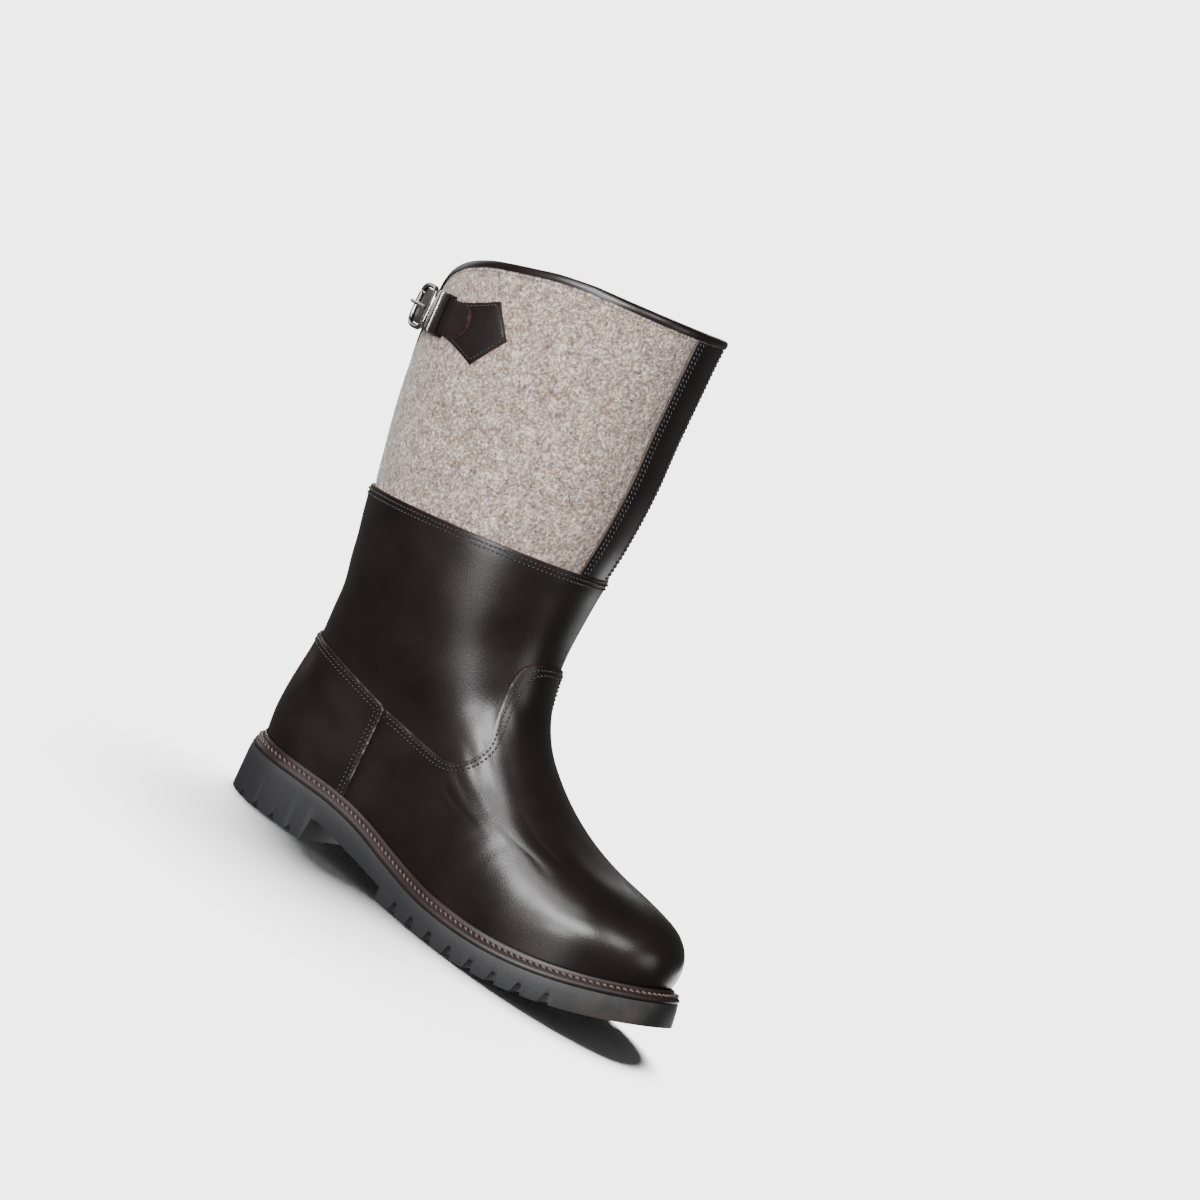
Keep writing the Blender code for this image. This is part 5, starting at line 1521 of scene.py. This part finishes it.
    def _wire(self, name: str, points: Sequence[Vector], radius: float, closed: bool, node: str) -> None:
        """A round wire through points."""
        count, rings = len(points), []
        normal = Vector((0.0, 0.0, 1.0))
        for k, point in enumerate(points):
            before = points[k - 1] if closed or k else point
            after = points[(k + 1) % count] if closed or k < count - 1 else point
            along = (after - before).normalized()
            side = along.cross(normal)
            side = side.normalized() if side.length > 0.2 else along.orthogonal().normalized()
            other = side.cross(along).normalized()
            end = 1.0 if closed or 0 < k < count - 1 else 0.55
            rings.append([point + radius * end * (math.cos(a) * side + math.sin(a) * other)
                          for a in np.linspace(0.0, 2.0 * math.pi, WIRE_SIDES + 1)[:-1]])
        faces = ring_faces(count, WIRE_SIDES, closed)
        if not closed:
            first = tuple(range(WIRE_SIDES))
            faces += [first[::-1], tuple(WIRE_SIDES * (count - 1) + k for k in first)]
        self.shop.add(name, rings, faces, self.shop.palette.plain(NICKEL), 70.0, Slot.METAL, node)

    def _buckle(self) -> None:
        """Rounded frame and the prong that lies across it."""
        wire, thin = BUCKLE_WIRE, PRONG_WIRE
        lift = self._strap_inner(BUCKLE_PLACE) + STRAP_THICKNESS + GAP + 0.2 * wire
        centre, along, up, out = self._site(BUCKLE_PLACE, lift)
        half_l, half_h = 0.5 * (BUCKLE_LENGTH - wire), 0.5 * (BUCKLE_HEIGHT - wire)
        front, tilt = centre + half_l * along, math.radians(BUCKLE_TILT)
        level, slope = math.cos(tilt), math.sin(tilt)
        along, out = along * level - out * slope, out * level + along * slope
        centre = front - half_l * along
        points = []
        for turn in np.linspace(0.0, 2.0 * math.pi, 73)[:-1]:
            c, s = math.cos(turn), math.sin(turn)
            power = 0.62 if c < 0.0 else 0.42
            points.append(centre + along * math.copysign(abs(c) ** power, c) * half_l
                          + up * math.copysign(abs(s) ** 0.55, s) * half_h)
        self._wire("buckle_frame_metal", points, 0.5 * wire, True, "buckle_frame")
        reach = half_l - 0.5 * (wire + thin) - GAP
        rise = 0.5 * (wire + thin) + GAP
        prong = [centre + along * (reach - share * (reach + half_l + 0.6 * wire))
                 + out * (0.0004 + rise * min(1.0, share * 1.12)) for share in np.linspace(0.0, 1.0, 16)]
        self._wire("buckle_prong_metal", prong, 0.5 * thin, False, "buckle_prong")

    def _fold(self) -> None:
        """Part of the strap that rises through the buckle's frame, under the prong."""
        angles = 360.0 - np.linspace(KEEPER_PLACE + 3.0, BUCKLE_PLACE + 8.5, 26)

        def inner(degrees: float) -> float:
            share = (360.0 - degrees - KEEPER_PLACE - 3.0) / (BUCKLE_PLACE + 5.5 - KEEPER_PLACE)
            return self._strap_inner(360.0 - degrees) + STRAP_THICKNESS + 0.00002 + 0.0014 * share

        self._ribbon("strap_rise_leather", angles, lambda d: RISE_HALF, inner)

    def _bracket(self, name: str, degrees: float, width: float, thickness: float, material: Material,
                 slot: Slot, node: str, crown: float) -> None:
        """A loop over the strap, crowned, with its legs down beside the strap."""
        centre, along, up, out = self._site(degrees, 0.0)
        inside, foot = 0.5 * STRAP_WIDTH + GAP, 0.0008
        top = self._strap_inner(degrees) + STRAP_THICKNESS + 2.0 * GAP
        corners = [(inside, foot), (inside, top - 0.0006)]
        corners += [(inside - 0.0006 * share, top - 0.0006 * (1.0 - share) ** 2) for share in (0.5, 1.0)]
        outer = [(inside + thickness, foot), (inside + thickness, top - 0.0003),
                 (inside + 0.7 * thickness, top + 0.7 * thickness), (inside - 0.0006, top + thickness)]
        inner_path = corners + [(-u, v) for u, v in corners[::-1]]
        outer_path = outer + [(-u, v) for u, v in outer[::-1]]
        rings = []
        for reach, swell in ((-0.5, 0.0), (-0.42, 0.7), (-0.2, 1.0), (0.2, 1.0), (0.42, 0.7), (0.5, 0.0)):
            lift = crown * swell
            ring = inner_path + [(u + math.copysign(lift * 0.5, u), v + (lift if v > top else 0.0))
                                 for u, v in outer_path[::-1]]
            rings.append([centre + along * reach * width + up * u + out * v for u, v in ring])
        count = len(rings[0])
        faces = ring_faces(len(rings), count) + flat_caps((0, count * (len(rings) - 1)), count)
        self.shop.add(name, rings, faces, material, 45.0, slot, node)


@dataclass(frozen=True)
class Light:
    """A soft area light that looks at a point."""

    name: str
    place: tuple[float, float, float]
    aim: tuple[float, float, float]
    size: tuple[float, float]
    watts: float


LIGHTS = (
    Light("key", (0.12, -1.08, 0.54), (0.10, 0.0, 0.10), (0.90, 0.38), 25.0),
    Light("low_key", (0.20, -1.25, 0.10), (0.08, 0.0, 0.11), (0.40, 0.30), 6.5),
    Light("high_key", (-0.22, -0.85, 1.00), (0.08, 0.0, 0.10), (0.50, 0.40), 5.0),
    Light("table_glow", (0.34, -1.36, -0.48), (0.03, 0.0, 0.16), (0.50, 0.60), 2.2),
    Light("instep_side", (0.95, -0.75, 0.80), (0.10, 0.0, 0.12), (0.34, 0.55), 6.0),
    Light("toe_side", (1.50, -0.10, 0.42), (0.16, 0.0, 0.06), (0.60, 0.60), 3.0),
    Light("far_side", (-0.95, 1.35, 0.55), (0.0, 0.0, 0.20), (0.90, 0.90), 17.0),
    Light("far_glow", (0.35, 1.40, -0.38), (0.02, 0.0, 0.14), (0.80, 0.60), 6.0),
    Light("heel_side", (-1.60, 0.25, 0.45), (0.0, 0.0, 0.18), (0.60, 0.90), 4.0),
)
FLOOR_SUN = 17.7
SUN_SPREAD = 36.0
SUN_TURN = (-16.0, -12.0, 0.0)
BACKDROP = 4.35
AMBIENT = 0.13


@dataclass
class Studio:
    """Floor, lights, backdrop and the camera of the photo."""

    azimuth: float = 27.0
    elevation: float = 9.0
    roll: float = 29.8
    distance: float = 2.5
    lens: float = 141.4
    target: tuple[float, float, float] = (0.0894, 0.0, 0.170)
    shift: tuple[float, float] = (0.0253, 0.0268)

    def build(self) -> None:
        """Sets up the studio: the boot and the floor have lights of their own."""
        boot = bpy.data.collections.new("boot_only")
        for thing in bpy.context.scene.objects:
            if thing.type == "MESH":
                boot.objects.link(thing)
        self._floor()
        self._world()
        for light in LIGHTS:
            self._light(light).light_linking.receiver_collection = boot
        self._camera()

    @staticmethod
    def _floor() -> None:
        """Large pale floor."""
        deselect()
        bpy.ops.mesh.primitive_plane_add(size=60.0, location=(0.0, 0.0, -0.0001))
        floor = bpy.context.active_object
        floor.name = "studio_floor"
        material = bpy.data.materials.new("studio_floor")
        material.use_nodes = True
        shader = material.node_tree.nodes["Principled BSDF"]
        shader.inputs["Base Color"].default_value = (0.80, 0.80, 0.80, 1.0)
        shader.inputs["Roughness"].default_value = 0.9
        shader.inputs["Specular IOR Level"].default_value = 0.1
        floor.data.materials.append(material)
        floor.visible_glossy, floor.visible_diffuse, floor.visible_shadow = False, False, False
        data = bpy.data.lights.new("floor_sun", "SUN")
        data.energy, data.angle = FLOOR_SUN, math.radians(SUN_SPREAD)
        lamp = add_object("floor_sun", data)
        lamp.rotation_euler = [math.radians(turn) for turn in SUN_TURN]
        lit = bpy.data.collections.new("floor_only")
        lit.objects.link(floor)
        lamp.light_linking.receiver_collection = lit

    @staticmethod
    def _world() -> None:
        """Even pale backdrop."""
        world = bpy.data.worlds.new("studio")
        world.use_nodes = True
        background = world.node_tree.nodes["Background"]
        nodes = Nodes(world.node_tree)
        seen = nodes.add("LightPath").outputs["Is Camera Ray"]
        nodes.feed(background, {"Color": (1.0, 1.0, 1.0), "Strength": nodes.span(seen, AMBIENT, BACKDROP)})
        bpy.context.scene.world = world

    @staticmethod
    def _light(light: Light) -> Thing:
        """Adds one area light."""
        data = bpy.data.lights.new(light.name, "AREA")
        data.shape, data.energy = "RECTANGLE", light.watts
        data.size, data.size_y = light.size
        lamp = add_object(light.name, data)
        lamp.location = light.place
        lamp.rotation_euler = (Vector(light.aim) - Vector(light.place)).to_track_quat("-Z", "Y").to_euler()
        return lamp

    def _camera(self) -> None:
        """The photo's view, rolled as the photo is."""
        a, e = math.radians(self.azimuth), math.radians(self.elevation)
        back = Vector((math.sin(a) * math.cos(e), -math.cos(a) * math.cos(e), math.sin(e)))
        data = bpy.data.cameras.new("photo_view")
        data.lens, data.sensor_width = self.lens, 36.0
        data.shift_x, data.shift_y = self.shift
        data.clip_start, data.clip_end = 0.05, 100.0
        camera = add_object("photo_view", data)
        camera.location = Vector(self.target) + back * self.distance
        camera.rotation_mode = "QUATERNION"
        turn = Quaternion((0.0, 0.0, 1.0), math.radians(self.roll))
        camera.rotation_quaternion = (-back).to_track_quat("-Z", "Y") @ turn
        bpy.context.scene.camera = camera


def main() -> None:
    """Builds the scene."""
    logging.basicConfig(level=logging.INFO)
    for thing in list(bpy.data.objects):
        bpy.data.objects.remove(thing, do_unlink=True)
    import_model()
    shop = Workshop(Last(), Palette(), np.random.default_rng(7))
    for assembly in (Sole(shop), FootLeather(shop), Shaft(shop), StrapSet(shop)):
        assembly.build()
        log.info("built %s", type(assembly).__name__)
    Studio().build()
    deselect()


if __name__ == "__main__":
    main()
